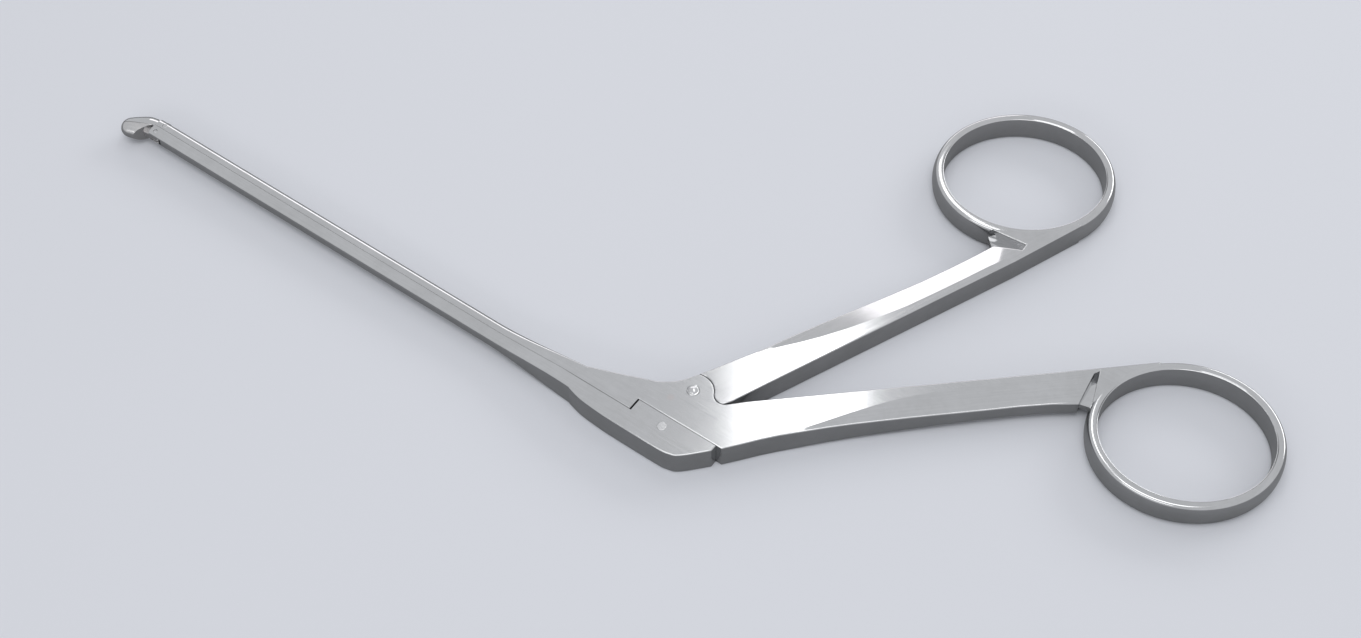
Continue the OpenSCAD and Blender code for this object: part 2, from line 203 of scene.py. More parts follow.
def arc(centre: Array, radius: float, start: float, stop: float, steps: int) -> Array:
    """Points on a circle: centre + radius * (cos a, sin a), with a in degrees from start to stop."""
    turn = np.radians(np.linspace(start, stop, steps + 1))
    return np.asarray(centre) + radius * np.stack([np.cos(turn), np.sin(turn)], -1)


def unit(vectors: Array) -> Array:
    """Rows of vectors, each divided by its length."""
    return vectors / np.linalg.norm(vectors, axis=-1, keepdims=True)


def inward(outline: Array) -> Array:
    """Mitred step into an anticlockwise outline, for an inset of one: the bisector over the cosine of half the turn.

    Args:
        outline: Rows of points, anticlockwise.

    Returns:
        One vector for each point.
    """
    before = unit(outline - np.roll(outline, 1, 0))
    after = np.roll(before, -1, 0)
    left = np.stack([-before[:, 1], before[:, 0]], -1)
    bisector = unit(left + np.stack([-after[:, 1], after[:, 0]], -1))
    return bisector / np.maximum(0.5, (bisector * left).sum(1, keepdims=True))


def ring_oval(plan: Plan, centre: Array, turn: float, angles: Array, off: float | Array) -> Array:
    """Points beside the oval of a finger ring: the ellipse (a cos t, b sin t), moved out along its normal by off.

    Args:
        plan: Sizes of the forceps.
        centre: Centre of the ring.
        turn: Direction of the ring's long width in degrees.
        angles: Values of t in degrees.
        off: Distance outwards from the edge of the hole.

    Returns:
        Points in the plane, shaped as angles and off are together.
    """
    t, off = np.broadcast_arrays(np.radians(np.asarray(angles, float)), np.asarray(off, float))
    a, b = plan.ring_long / 2, plan.ring_short / 2
    edge = np.stack([a * np.cos(t), b * np.sin(t)], -1)
    point = edge + unit(np.stack([b * np.cos(t), a * np.sin(t)], -1)) * off[..., None]
    c, s = math.cos(math.radians(turn)), math.sin(math.radians(turn))
    return np.asarray(centre) + np.stack([point[..., 0] * c - point[..., 1] * s, point[..., 0] * s + point[..., 1] * c], -1)


# ---------------------------------------------------------------- closed shells


@dataclass
class Shell:
    """Closed surface gathered from grids of points, in millimetres."""

    points: list[Array] = field(default_factory=list)
    faces: list[list[int]] = field(default_factory=list)
    count: int = 0

    def add_points(self, rows: Array) -> int:
        """Keeps points and returns the index of the first."""
        flat = np.asarray(rows, float).reshape(-1, 3)
        self.points.append(flat)
        self.count += len(flat)
        return self.count - len(flat)

    def add_grid(self, grid: Array, close_rows: bool = False) -> int:
        """Quads over rows of points, closed round each row.

        Args:
            grid: Points shaped (rows, columns, 3).
            close_rows: Whether the last row joins the first.

        Returns:
            Index of the first point.
        """
        rows, cols = grid.shape[:2]
        base = self.add_points(grid)
        index = base + np.arange(rows * cols).reshape(rows, cols)
        low = index if close_rows else index[:-1]
        high = np.roll(index, -1, 0) if close_rows else index[1:]
        quads = np.stack([low, np.roll(low, -1, 1), np.roll(high, -1, 1), high], -1).reshape(-1, 4)
        self.faces += quads.tolist()
        return base

    def add_tube(self, grid: Array) -> "Shell":
        """Quads over rows of points with a flat face over the first and the last row."""
        rows, cols = grid.shape[:2]
        base = self.add_grid(grid)
        self.faces.append(list(range(base + cols - 1, base - 1, -1)))
        self.faces.append(list(range(base + (rows - 1) * cols, base + rows * cols)))
        return self

    def to_object(self, name: str) -> bpy.types.Object:
        """Writes the shell into a new mesh in metres, turned inside out if its volume comes out negative.

        Args:
            name: Name of the object and its mesh.

        Returns:
            The new object, linked into the scene.
        """
        mesh = bpy.data.meshes.new(name)
        mesh.from_pydata((np.vstack(self.points) * METRES).tolist(), [], self.faces)
        work = bmesh.new()
        work.from_mesh(mesh)
        bmesh.ops.remove_doubles(work, verts=work.verts, dist=2e-8)
        if work.calc_volume(signed=True) < 0:
            bmesh.ops.reverse_faces(work, faces=work.faces)
        work.to_mesh(mesh)
        work.free()
        item = bpy.data.objects.new(name, mesh)
        bpy.context.scene.collection.objects.link(item)
        return item


def prism(outline: Array, levels: list[tuple[float, float]]) -> Shell:
    """Upright block: rows of the outline at each level's height, moved inwards by the level's inset.

    Args:
        outline: Rows of points, anticlockwise.
        levels: Height and inset of each row, from below upwards.

    Returns:
        The closed shell.
    """
    step = inward(outline)
    rows = [np.column_stack([outline + step * inset, np.full(len(outline), height)]) for height, inset in levels]
    return Shell().add_tube(np.stack(rows))


def slab(outline: Array, low: float, high: float) -> Shell:
    """Upright block with square edges between two heights."""
    return prism(outline, [(low, 0.0), (high, 0.0)])


def box_outline(x0: float, y0: float, x1: float, y1: float) -> Array:
    """Anticlockwise corners of an upright rectangle."""
    return np.array([[x0, y0], [x1, y0], [x1, y1], [x0, y1]])


def turned(profile: Array, centre: Array, steps: int = 72) -> Shell:
    """Surface of revolution: each profile point (r, z) becomes centre + r (cos a, sin a) at height z.

    Args:
        profile: Rows of (radius, height), the first and the last with a small radius.
        centre: Axis in the plane.
        steps: Points round the axis.

    Returns:
        The closed shell.
    """
    turn = np.linspace(0, 2 * np.pi, steps, endpoint=False)
    r, z = profile[:, :1], profile[:, 1:]
    grid = np.stack([centre[0] + r * np.cos(turn), centre[1] + r * np.sin(turn), z + 0 * turn], -1)
    return Shell().add_tube(grid)


def link_plate(p: Array, rp: float, q: Array, rq: float, steps: int = 20) -> Array:
    """Outline round two bosses with straight flanks that touch both circles.

    Args:
        p: Centre of the first boss.
        rp: Its radius.
        q: Centre of the second boss.
        rq: Its radius.
        steps: Points on each boss.

    Returns:
        Rows of points, anticlockwise.
    """
    d = q - p
    turn = math.degrees(math.atan2(d[1], d[0]))
    flank = math.degrees(math.acos((rp - rq) / np.linalg.norm(d)))
    return np.vstack([arc(p, rp, turn + flank, turn + 360 - flank, steps), arc(q, rq, turn - flank, turn + flank, steps)])


@dataclass
class ForgedPlate:
    """Plate over an outline with rounded edges and a ground facet on both sides along part of its edge.

    The facet runs from outline point first to last and falls by drop. Corner_a and corner_b are the outline
    points that close it on the flat face, and crease holds the points between them where the flat face ends.
    """

    outline: Array
    edge: Array
    drop: Array
    first: int
    last: int
    corner_a: int
    corner_b: int
    crease: Array
    thickness: float
    steps: int = 4

    def shell(self) -> Shell:
        """Rows round the outline: inset r(1 - sin a) at height drop + r(1 - cos a), mirrored above, and flat faces.

        Returns:
            The closed shell.
        """
        shell = Shell()
        step = inward(self.outline)
        turn = np.linspace(0, np.pi / 2, self.steps + 1)[:, None]
        inset = self.edge * (1 - np.sin(turn))
        low = self.drop + self.edge * (1 - np.cos(turn))
        xy = self.outline[None] + step[None] * inset[..., None]
        below = np.concatenate([xy, low[..., None]], -1)
        above = np.concatenate([xy, self.thickness - low[..., None]], -1)[::-1]
        grid = np.concatenate([below, above])
        count = len(self.outline)
        base = shell.add_grid(grid)
        top = base + (len(grid) - 1) * count
        for start, height, upper in ((base, 0.0, False), (top, self.thickness, True)):
            extra = shell.add_points(np.column_stack([self.crease, np.full(len(self.crease), height)]))
            self._close(shell, start, extra, upper)
        return shell

    def creases(self) -> Array:
        """Points of the crease on both flat faces, with the inset corner that ends it.

        Returns:
            Rows of points in space.
        """
        corner = self.corner_b if self.corner_a == self.first else self.corner_a
        end = self.outline[corner] + inward(self.outline)[corner] * self.edge[corner]
        line = np.vstack([self.crease, end])
        return np.vstack([np.column_stack([line, np.full(len(line), z)]) for z in (0.0, self.thickness)])

    def _close(self, shell: Shell, start: int, extra: int, upper: bool) -> None:
        """Adds one flat face and the facet beside it.

        Args:
            shell: Shell that gets the faces.
            start: Index of the outline's first point on this side.
            extra: Index of the first crease point.
            upper: Whether this is the upper side.
        """
        span = self.last - self.first
        feet = [start + self.corner_a] + [extra + k for k in range(span - 1)] + [start + self.corner_b]
        skip = self.last if self.corner_a == self.first else self.first
        loop = [
            feet[i - self.first] if self.first < i < self.last else start + i
            for i in range(len(self.outline))
            if i != skip
        ]
        strips = [[feet[k], feet[k + 1], start + self.first + k + 1, start + self.first + k] for k in range(span)]
        for strip in [list(dict.fromkeys(s)) for s in strips]:
            shell.faces.append(strip[::-1] if upper else strip)
        shell.faces.append(loop if upper else loop[::-1])


# ---------------------------------------------------------------- joining and dressing


class Action(Enum):
    """What a boolean step does with its tool."""

    JOIN = "UNION"
    CUT = "DIFFERENCE"
    KEEP = "INTERSECT"


def carve(name: str, blank: Shell, steps: list[tuple[Action, "Shell | bpy.types.Object"]]) -> bpy.types.Object:
    """Joins, cuts and keeps shells one after another and returns the finished piece.

    Args:
        name: Name of the piece.
        blank: Shell that the piece starts from.
        steps: Actions with their tools, in order.

    Returns:
        The piece as an object with a plain mesh.
    """
    piece = blank.to_object(name)
    tools = []
    for action, shell in steps:
        tool = shell.to_object(name + "_tool") if isinstance(shell, Shell) else shell
        tools.append(tool)
        modifier = piece.modifiers.new(action.name, "BOOLEAN")
        modifier.operation = action.value
        modifier.solver = "EXACT"
        modifier.object = tool
    bpy.context.view_layer.update()
    solid = bpy.data.meshes.new_from_object(piece.evaluated_get(bpy.context.evaluated_depsgraph_get()))
    piece.modifiers.clear()
    old, piece.data = piece.data, solid
    bpy.data.meshes.remove(old)
    for tool in tools:
        bpy.data.meshes.remove(tool.data)
    solid.name = name
    return piece


def settle_edges(piece: bpy.types.Object, sharp_angle: float, creases: Array | None = None) -> None:
    """Welds the mesh, shades it smooth between sharp edges and weights its normals by face area.

    Args:
        piece: Object to treat.
        sharp_angle: Angle in degrees from which an edge is sharp.
        creases: Points in millimetres; an edge between two of them is sharp too.
    """
    mesh = piece.data
    work = bmesh.new()
    work.from_mesh(mesh)
    bmesh.ops.remove_doubles(work, verts=work.verts, dist=3e-7)
    bmesh.ops.dissolve_degenerate(work, edges=work.edges, dist=1e-7)
    work.to_mesh(mesh)
    work.free()
    mesh.shade_smooth()
    mesh.set_sharp_from_angle(angle=math.radians(sharp_angle))
    if creases is not None:
        co = np.empty(len(mesh.vertices) * 3)
        mesh.vertices.foreach_get("co", co)
        co = co.reshape(-1, 3) / METRES
        near = np.array([np.abs(creases - p).sum(1).min() < 2e-3 for p in co])
        ends = np.empty(len(mesh.edges) * 2, int)
        mesh.edges.foreach_get("vertices", ends)
        marked = near[ends.reshape(-1, 2)].all(1)
        sharp = mesh.attributes.get("sharp_edge") or mesh.attributes.new("sharp_edge", "BOOLEAN", "EDGE")
        values = np.empty(len(mesh.edges), bool)
        sharp.data.foreach_get("value", values)
        sharp.data.foreach_set("value", values | marked)
    weight = piece.modifiers.new("even_normals", "WEIGHTED_NORMAL")
    weight.mode = "FACE_AREA"
    weight.keep_sharp = True


@dataclass(frozen=True)
class Lay:
    """Direction of the grinding lines in one region: inside a circle round a ring, or beyond a line."""

    angle: float
    centre: tuple[float, float] = (0.0, 0.0)
    radius: float = 0.0
    start: float = -1e6


def map_lay(piece: bpy.types.Object, lays: list[Lay]) -> None:
    """Writes the UV map "lay": u runs along the grinding lines and v across them, in centimetres.

    Args:
        piece: Object whose mesh gets the map.
        lays: Regions; the last one that holds a face's centre gives its direction.
    """
    mesh = piece.data
    layer = mesh.uv_layers.get("lay") or mesh.uv_layers.new(name="lay")
    co = np.empty(len(mesh.vertices) * 3)
    mesh.vertices.foreach_get("co", co)
    co = co.reshape(-1, 3) / METRES
    owner = np.empty(len(mesh.loops), int)
    mesh.loops.foreach_get("vertex_index", owner)
    centre = np.empty(len(mesh.polygons) * 3)
    mesh.polygons.foreach_get("center", centre)
    total = np.empty(len(mesh.polygons), int)
    mesh.polygons.foreach_get("loop_total", total)
    centre = np.repeat(centre.reshape(-1, 3) / METRES, total, 0)
    p = co[owner]
    uv = np.zeros((len(p), 2))
    for lay in lays:
        turn = math.radians(lay.angle)
        forward = np.array([math.cos(turn), math.sin(turn)])
        side = np.array([-math.sin(turn), math.cos(turn)])
        if lay.radius:
            inside = np.hypot(*(centre[:, :2] - lay.centre).T) < lay.radius
            rel = p[:, :2] - lay.centre
            u = np.arctan2(rel[:, 1], rel[:, 0]) * lay.radius
            v = np.hypot(*rel.T) + p[:, 2]
        else:
            inside = centre[:, :2] @ forward > lay.start
            u, v = p[:, :2] @ forward, p[:, :2] @ side + p[:, 2]
        uv[inside] = np.stack([u, v], -1)[inside] / 10
    layer.data.foreach_set("uv", uv.ravel())


class Socket(Enum):
    """Kinds of socket on a shader node group."""

    VALUE = "NodeSocketFloat"
    VECTOR = "NodeSocketVector"
    COLOUR = "NodeSocketColor"


class NodeBench:
    """Short hand for laying out shader nodes in one tree."""

    def __init__(self, tree: bpy.types.NodeTree) -> None:
        """Keeps the tree that the nodes go into."""
        self.tree = tree

    def add(self, kind: str, **settings: object) -> bpy.types.Node:
        """Adds a node of a kind and sets its properties."""
        node = self.tree.nodes.new(kind)
        for key, value in settings.items():
            setattr(node, key, value)
        return node

    def join(self, source: bpy.types.NodeSocket, target: bpy.types.NodeSocket) -> None:
        """Links an output to an input."""
        self.tree.links.new(source, target)

    def maths(self, operation: str, first: object, second: object = 0.0, clamp: bool = False) -> bpy.types.NodeSocket:
        """One Math node.

        Args:
            operation: Name of the operation.
            first: Socket or number.
            second: Socket or number.
            clamp: Whether the result is held between 0 and 1.

        Returns:
            The output socket.
        """
        node = self.add("ShaderNodeMath", operation=operation, use_clamp=clamp)
        for slot, value in zip(node.inputs, (first, second)):
            if isinstance(value, bpy.types.NodeSocket):
                self.join(value, slot)
            else:
                slot.default_value = value
        return node.outputs[0]

    def noise(self, vector: bpy.types.NodeSocket, scale: object, detail: float, rough: float) -> bpy.types.NodeSocket:
        """Noise between 0 and 1 over a vector.

        Args:
            vector: Place that the noise is read at.
            scale: Socket or number, cells for each unit.
            detail: Octaves.
            rough: Share that each finer octave keeps.

        Returns:
            The noise value.
        """
        node = self.add("ShaderNodeTexNoise")
        self.join(vector, node.inputs["Vector"])
        if isinstance(scale, bpy.types.NodeSocket):
            self.join(scale, node.inputs["Scale"])
        else:
            node.inputs["Scale"].default_value = scale
        node.inputs["Detail"].default_value = detail
        node.inputs["Roughness"].default_value = rough
        return node.outputs[0]

    def band(self, value: bpy.types.NodeSocket, low: float, high: float, to_low: float = 0.0, to_high: float = 1.0) -> bpy.types.NodeSocket:
        """Maps a value from one range to another, held at the ends.

        Args:
            value: Socket to map.
            low: Value that becomes to_low.
            high: Value that becomes to_high.
            to_low: Result at low.
            to_high: Result at high.

        Returns:
            The mapped value.
        """
        node = self.add("ShaderNodeMapRange", clamp=True)
        self.join(value, node.inputs["Value"])
        for key, number in zip(("From Min", "From Max", "To Min", "To Max"), (low, high, to_low, to_high)):
            node.inputs[key].default_value = number
        return node.outputs[0]


def new_group(name: str, inputs: dict[str, tuple[Socket, object]], outputs: dict[str, Socket]) -> tuple[NodeBench, bpy.types.Node, bpy.types.Node]:
    """Starts a shader node group with named sockets.

    Args:
        name: Name of the group.
        inputs: Socket kind and default value by name.
        outputs: Socket kind by name.

    Returns:
        Bench on the group's tree, its input node and its output node.
    """
    tree = bpy.data.node_groups.new(name, "ShaderNodeTree")
    for key, (kind, value) in inputs.items():
        socket = tree.interface.new_socket(name=key, in_out="INPUT", socket_type=kind.value)
        if value is not None:
            socket.default_value = value
    for key, kind in outputs.items():
        tree.interface.new_socket(name=key, in_out="OUTPUT", socket_type=kind.value)
    bench = NodeBench(tree)
    return bench, bench.add("NodeGroupInput"), bench.add("NodeGroupOutput")


class SteelEffects:
    """The node groups that every steel finish shares."""

    def __init__(self) -> None:
        """Builds the three groups once."""
        self.lines = self._grinding_lines()
        self.film = self._handling_film()
        self.mark = self._small_mark()

    def _grinding_lines(self) -> bpy.types.NodeTree:
        """Fine lines along u: noise over (u * along, v * across), coarse and fine, added.

        Returns:
            Group with the inputs Lay, Along and Across and the output Lines.
        """
        bench, source, sink = new_group(
            "grinding_lines",
            {"Lay": (Socket.VECTOR, None), "Along": (Socket.VALUE, 3.0), "Across": (Socket.VALUE, 160.0)},
            {"Lines": Socket.VALUE},
        )
        parts = bench.add("ShaderNodeSeparateXYZ")
        bench.join(source.outputs["Lay"], parts.inputs[0])
        place = bench.add("ShaderNodeCombineXYZ")
        bench.join(bench.maths("MULTIPLY", parts.outputs[0], source.outputs["Along"]), place.inputs[0])
        bench.join(bench.maths("MULTIPLY", parts.outputs[1], source.outputs["Across"]), place.inputs[1])
        fine = bench.noise(place.outputs[0], 1.0, 4.0, 0.6)
        coarse = bench.noise(place.outputs[0], 0.18, 2.0, 0.5)
        bench.join(bench.maths("ADD", bench.maths("MULTIPLY", fine, 0.65), bench.maths("MULTIPLY", coarse, 0.35)), sink.inputs[0])
        return bench.tree

    def _handling_film(self) -> bpy.types.NodeTree:
        """Soft cloudy film of wiping and touch: two noises of unlike size, the broad one bending the small one.

        Returns:
            Group with the inputs Place and Size and the output Film.
        """
        bench, source, sink = new_group(
            "handling_film", {"Place": (Socket.VECTOR, None), "Size": (Socket.VALUE, 140.0)}, {"Film": Socket.VALUE}
        )
        broad = bench.noise(source.outputs["Place"], source.outputs["Size"], 3.0, 0.55)
        small = bench.noise(source.outputs["Place"], bench.maths("MULTIPLY", source.outputs["Size"], 6.0), 4.0, 0.6)
        mixed = bench.maths("ADD", bench.maths("MULTIPLY", broad, 0.7), bench.maths("MULTIPLY", small, 0.3))
        bench.join(bench.band(mixed, 0.38, 0.66), sink.inputs[0])
        return bench.tree

    def _small_mark(self) -> bpy.types.NodeTree:
        """One soft round mark: 1 at its centre, 0 from its radius on.

        Returns:
            Group with the inputs Place, Centre and Radius and the output Mark.
        """
        bench, source, sink = new_group(
            "small_mark",
            {"Place": (Socket.VECTOR, None), "Centre": (Socket.VECTOR, None), "Radius": (Socket.VALUE, 0.0004)},
            {"Mark": Socket.VALUE},
        )
        gap = bench.add("ShaderNodeVectorMath", operation="DISTANCE")
        bench.join(source.outputs["Place"], gap.inputs[0])
        bench.join(source.outputs["Centre"], gap.inputs[1])
        share = bench.maths("DIVIDE", gap.outputs["Value"], source.outputs["Radius"])
        bench.join(bench.band(share, 0.35, 1.0, 1.0, 0.0), sink.inputs[0])
        return bench.tree


@dataclass(frozen=True)
class TintAndLightSpot:
    """A small round patch of painted colour: its place in millimetres, its radius, its tone and how strongly it covers.
    On the handle these patches are a painted highlight and painted shade; on the frame, a pinkish tint.
    """

    place: tuple[float, float, float]
    radius: float
    tone: tuple[float, float, float]
    strength: float


@dataclass(frozen=True)
class SteelFinish:
    """Stainless steel finish: tone, gloss, grinding lines, the film of use, and small painted spots of tint and of
    light and shade.
    """

    name: str
    tone: tuple[float, float, float] = (0.60, 0.605, 0.615)
    film_tone: tuple[float, float, float] = (0.54, 0.545, 0.55)
    roughness: float = 0.085
    line_depth: float = 0.0000012
    line_across: float = 160.0
    line_along: float = 3.0
    film_size: float = 140.0
    tint_and_light_spots: tuple[TintAndLightSpot, ...] = ()

    def material(self, effects: SteelEffects) -> bpy.types.Material:
        """Builds the material: tone by film and lines, roughness by both, height from the lines.

        Args:
            effects: The shared node groups.

        Returns:
            The material.
        """
        material = bpy.data.materials.new(self.name)
        material.use_nodes = True
        bench = NodeBench(material.node_tree)
        shader = material.node_tree.nodes["Principled BSDF"]
        shader.inputs["Metallic"].default_value = 1.0
        lay = bench.add("ShaderNodeUVMap", uv_map="lay")
        place = bench.add("ShaderNodeTexCoord")
        lines = bench.add("ShaderNodeGroup", node_tree=effects.lines)
        bench.join(lay.outputs[0], lines.inputs["Lay"])
        lines.inputs["Along"].default_value = self.line_along
        lines.inputs["Across"].default_value = self.line_across
        film = bench.add("ShaderNodeGroup", node_tree=effects.film)
        bench.join(place.outputs["Object"], film.inputs["Place"])
        film.inputs["Size"].default_value = self.film_size
        colour = bench.add("ShaderNodeMix", data_type="RGBA")
        bench.join(film.outputs[0], colour.inputs["Factor"])
        colour.inputs["A"].default_value = (*self.tone, 1)
        colour.inputs["B"].default_value = (*self.film_tone, 1)
        tone = colour.outputs["Result"]
        shade = bench.add("ShaderNodeMix", data_type="RGBA", blend_type="MULTIPLY")
        shade.inputs["Factor"].default_value = 1.0
        bench.join(tone, shade.inputs["A"])
        grey = bench.band(lines.outputs[0], 0.3, 0.7, 0.94, 1.03)
        bench.join(grey, shade.inputs["B"])
        tone = shade.outputs["Result"]
        # Each spot paints its tone over the steel: on the handle a painted highlight and painted shade, on the frame a
        # pinkish tint.
        for spot in self.tint_and_light_spots:
            mark = bench.add("ShaderNodeGroup", node_tree=effects.mark)
            bench.join(place.outputs["Object"], mark.inputs["Place"])
            mark.inputs["Centre"].default_value = tuple(c * METRES for c in spot.place)
            mark.inputs["Radius"].default_value = spot.radius * METRES
            cover = bench.add("ShaderNodeMix", data_type="RGBA")
            bench.join(bench.maths("MULTIPLY", mark.outputs[0], spot.strength), cover.inputs["Factor"])
            bench.join(tone, cover.inputs["A"])
            cover.inputs["B"].default_value = (*spot.tone, 1)
            tone = cover.outputs["Result"]
        bench.join(tone, shader.inputs["Base Color"])
        rough = bench.maths("ADD", bench.band(film.outputs[0], 0, 1, self.roughness, self.roughness + 0.05), bench.band(lines.outputs[0], 0.3, 0.7, -0.015, 0.025))
        bench.join(rough, shader.inputs["Roughness"])
        bump = bench.add("ShaderNodeBump")
        bump.inputs["Strength"].default_value = 0.25
        bump.inputs["Distance"].default_value = self.line_depth
        bench.join(lines.outputs[0], bump.inputs["Height"])
        bench.join(bump.outputs[0], shader.inputs["Normal"])
        return material


def dress(piece: bpy.types.Object, material: bpy.types.Material, body: str, slot: str, *nodes: str) -> None:
    """Gives a piece its material, body and the CAD nodes that it stands for.

    Args:
        piece: The finished object.
        material: Its material.
        body: CAD body that it moves with.
        slot: Not used.
        *nodes: CAD nodes that it replaces.
    """
    piece.data.materials.clear()
    piece.data.materials.append(material)
    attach(piece, body)
    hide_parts(*nodes)
    faces = sum(len(p.vertices) - 2 for p in piece.data.polygons)
    LOG.info("%s: %d triangles, rides on %s", piece.name, faces, body)


# ---------------------------------------------------------------- shared blanks


STATIONS = np.array([0.19, 0.22, 0.26, 0.31, 0.37, 0.44, 0.52, 0.61, 0.7, 0.79, 0.87])


@dataclass
class Blanks:
    """The forged blanks that frame, handle and slider are cut from."""

    plan: Plan
    edge: float = 0.2
    end_edge: float = 0.32
    bridge_half: float = 0.4
    thumb_table: tuple = ((2.7, 7.25), (7.9, 6.35), (10.6, 6), (18.8, 5.2), (27, 4.85), (35, 4.65), (43, 4.5), (48.8, 4.65), (52, 5))
    finger_table: tuple = ((7.7, 5.65), (11.2, 5.3), (17.6, 5.2), (24, 4.95), (30.3, 4.6), (40.2, 4.25), (47.2, 4.3), (50, 4.45))
    thumb_strip: tuple = ((0.19, 1), (0.24, 0.93), (0.29, 0.86), (0.395, 0.62), (0.5, 0.38), (0.6, 0.27), (0.75, 0.19), (0.9, 0.16), (1, 0.16))
    finger_strip: tuple = ((0.19, 1), (0.25, 0.86), (0.34, 0.62), (0.46, 0.42), (0.62, 0.28), (0.8, 0.27), (1, 0.285))

    def width(self, table: tuple, u: float | Array) -> Array:
        """Width of a shank at distance u from the pivot, read from its table."""
        known = np.array(table, float)
        return np.interp(u, known[:, 0], known[:, 1])

    def thumb_line(self, u: float | Array, share: float | Array) -> Array:
        """Points on the thumb shank: share 0 is its inner edge and 1 its outer edge."""
        return along(self.plan.thumb_angle, u, self.plan.thumb_in + np.asarray(share) * self.width(self.thumb_table, u))

    def finger_line(self, u: float | Array, share: float | Array) -> Array:
        """Points on the finger shank: share 0 is its inner edge and 1 its outer edge."""
        return along(self.plan.finger_angle, u, self.plan.finger_in - np.asarray(share) * self.width(self.finger_table, u))

    def strip(self, table: tuple, share: float | Array, width: float | Array) -> Array:
        """Share of the width that stays flat beside the inner edge."""
        known = np.array(table, float)
        return np.minimum(np.interp(share, known[:, 0], known[:, 1]), 1 - 0.2 / np.asarray(width))

    def fall(self, share: Array) -> Array:
        """Drop of the facet at the outer edge, growing from nothing to its full depth at 70% of the shank."""
        return self.plan.facet_drop * np.clip((share - 0.19) / 0.5, 0, 1)

    def body(self) -> ForgedPlate:
        """Slider block, thumb shank with its web, seat, head and the edge to the shaft, as one plate.

        Returns:
            The plate.
        """
        p = self.plan
        front = np.array([-p.body_front, p.seam_y + p.shaft_w / 2 + 0.6])
        shoulder = np.array([-4.55, p.head_r * -0.48])
        belly = smooth_curve(
            np.array(
                [
                    [-p.body_front, p.seam_y - p.shaft_w / 2 - 0.5],
                    [-p.body_front + 2.4, -p.belly_drop + 0.4],
                    [-p.body_front + 5.8, -p.belly_drop + 0.1],
                    [-p.step_front, -p.belly_drop + 0.02],
                    [1.2, -p.belly_drop],
                    [3.3, -p.belly_drop + 0.22],
                    [4.9, -p.belly_drop + 1.05],
                    self.thumb_line(2.4, 1),
                ]
            ),
            6,
        )
        concave = smooth_curve(
            np.array(
                [
                    p.head_r * np.array([-0.33, 0.965]),
                    p.head_r * np.array([-0.86, 0.13]),
                    shoulder,
                    shoulder + (front - shoulder) * 0.26 + [0, -0.05],
                    shoulder + (front - shoulder) * 0.55 + [0, -0.1],
                    front,
                ]
            ),
            8,
        )
        head = arc([0, 0], p.head_r, p.valley_turn, 107, 26)
        seat = arc(p.valley, p.lobe_r, 305, 180 + p.valley_turn, 16)
        end_w = float(self.width(self.thumb_table, p.thumb_len))
        end_strip = float(self.strip(self.thumb_strip, 1.0, end_w))
        web_angles = np.concatenate([[162], np.linspace(150, 103, 22)])
        web_off = np.concatenate([[0.84], np.full(21, 0.4), [0.86]]) * p.ring_w
        end = np.stack(
            [
                along(p.thumb_angle, p.thumb_len - p.end_slant, p.thumb_in + end_w),
                along(p.thumb_angle, p.thumb_len - p.end_slant * end_strip, p.thumb_in + end_strip * end_w),
                along(p.thumb_angle, p.thumb_len + 0.2, p.thumb_in + 0.5),
            ]
        )
        parts = [
            belly,
            self.thumb_line(np.array([5.0, 8.0]), 1),
            self.thumb_line(STATIONS * p.thumb_len, 1),
            end,
            ring_oval(p, p.thumb_ring, p.thumb_ring_turn, web_angles, web_off),
            self.thumb_line(np.array([p.thumb_len - 1, 7.0]), 0),
            seat,
            head[1:],
            concave[1:],
        ]
        outline = np.vstack(parts)
        first = len(belly) + 2
        last = first + len(STATIONS)
        drop = np.zeros(len(outline))
        drop[first:last] = self.fall(STATIONS)
        drop[last] = p.facet_drop
        edge = np.full(len(outline), self.edge)
        edge[last : last + 2] = self.end_edge
        inner = STATIONS[1:]
        u = inner * p.thumb_len
        crease = self.thumb_line(u, self.strip(self.thumb_strip, inner, self.width(self.thumb_table, u)))
        return ForgedPlate(outline, edge, drop, first, last, first, last + 1, crease, p.body_t)

    def handle(self) -> ForgedPlate:
        """Root round the head, stop lobe, finger shank with its web, as one plate.

        Returns:
            The plate.
        """
        p = self.plan
        r = p.head_r + p.slide_gap
        start = self.finger_line(8.0, 1)
        meet = r * np.array([-0.3, 0.954])
        root = smooth_curve(np.array([start, (start + meet) / 2 + [0.02, -0.03], meet]), 8)
        end_w = float(self.width(self.finger_table, p.finger_len))
        end_strip = float(self.strip(self.finger_strip, 1.0, end_w))
        web_angles = np.concatenate([np.linspace(304, 256, 26), [244]])
        web_off = np.concatenate([[0.86], np.full(25, 0.4), [0.84]]) * p.ring_w
        end = np.stack(
            [
                along(p.finger_angle, p.finger_len, p.finger_in - 1.75),
                along(p.finger_angle, p.finger_len - p.end_slant * end_strip, p.finger_in - end_strip * end_w),
                along(p.finger_angle, p.finger_len - p.end_slant, p.finger_in - end_w),
            ]
        )
        parts = [
            root,
            arc([0, 0], r, 101, p.valley_turn + 4, 22),
            arc(p.valley, p.lobe_r - p.slide_gap, 180 + p.valley_turn, 296, 14),
            self.finger_line(np.array([3.6, p.finger_len - 3]), 0),
            ring_oval(p, p.finger_ring, p.finger_ring_turn, web_angles, web_off),
            end,
            self.finger_line(STATIONS[::-1] * p.finger_len, 1),
        ]
        outline = np.vstack(parts)
        first = len(outline) - len(STATIONS) - 1
        last = len(outline) - 1
        drop = np.zeros(len(outline))
        drop[first] = p.facet_drop
        drop[first + 1 :] = self.fall(STATIONS[::-1])
        edge = np.full(len(outline), self.edge * 0.8)
        edge[len(root) - 4 : len(root) + 3] = self.edge * 0.4
        edge[first - 1 : first + 1] = self.end_edge * 0.7
        inner = STATIONS[:0:-1]
        u = inner * p.finger_len
        crease = self.finger_line(u, self.strip(self.finger_strip, inner, self.width(self.finger_table, u)))
        return ForgedPlate(outline, edge, drop, first, last, first - 1, last, crease, p.body_t)

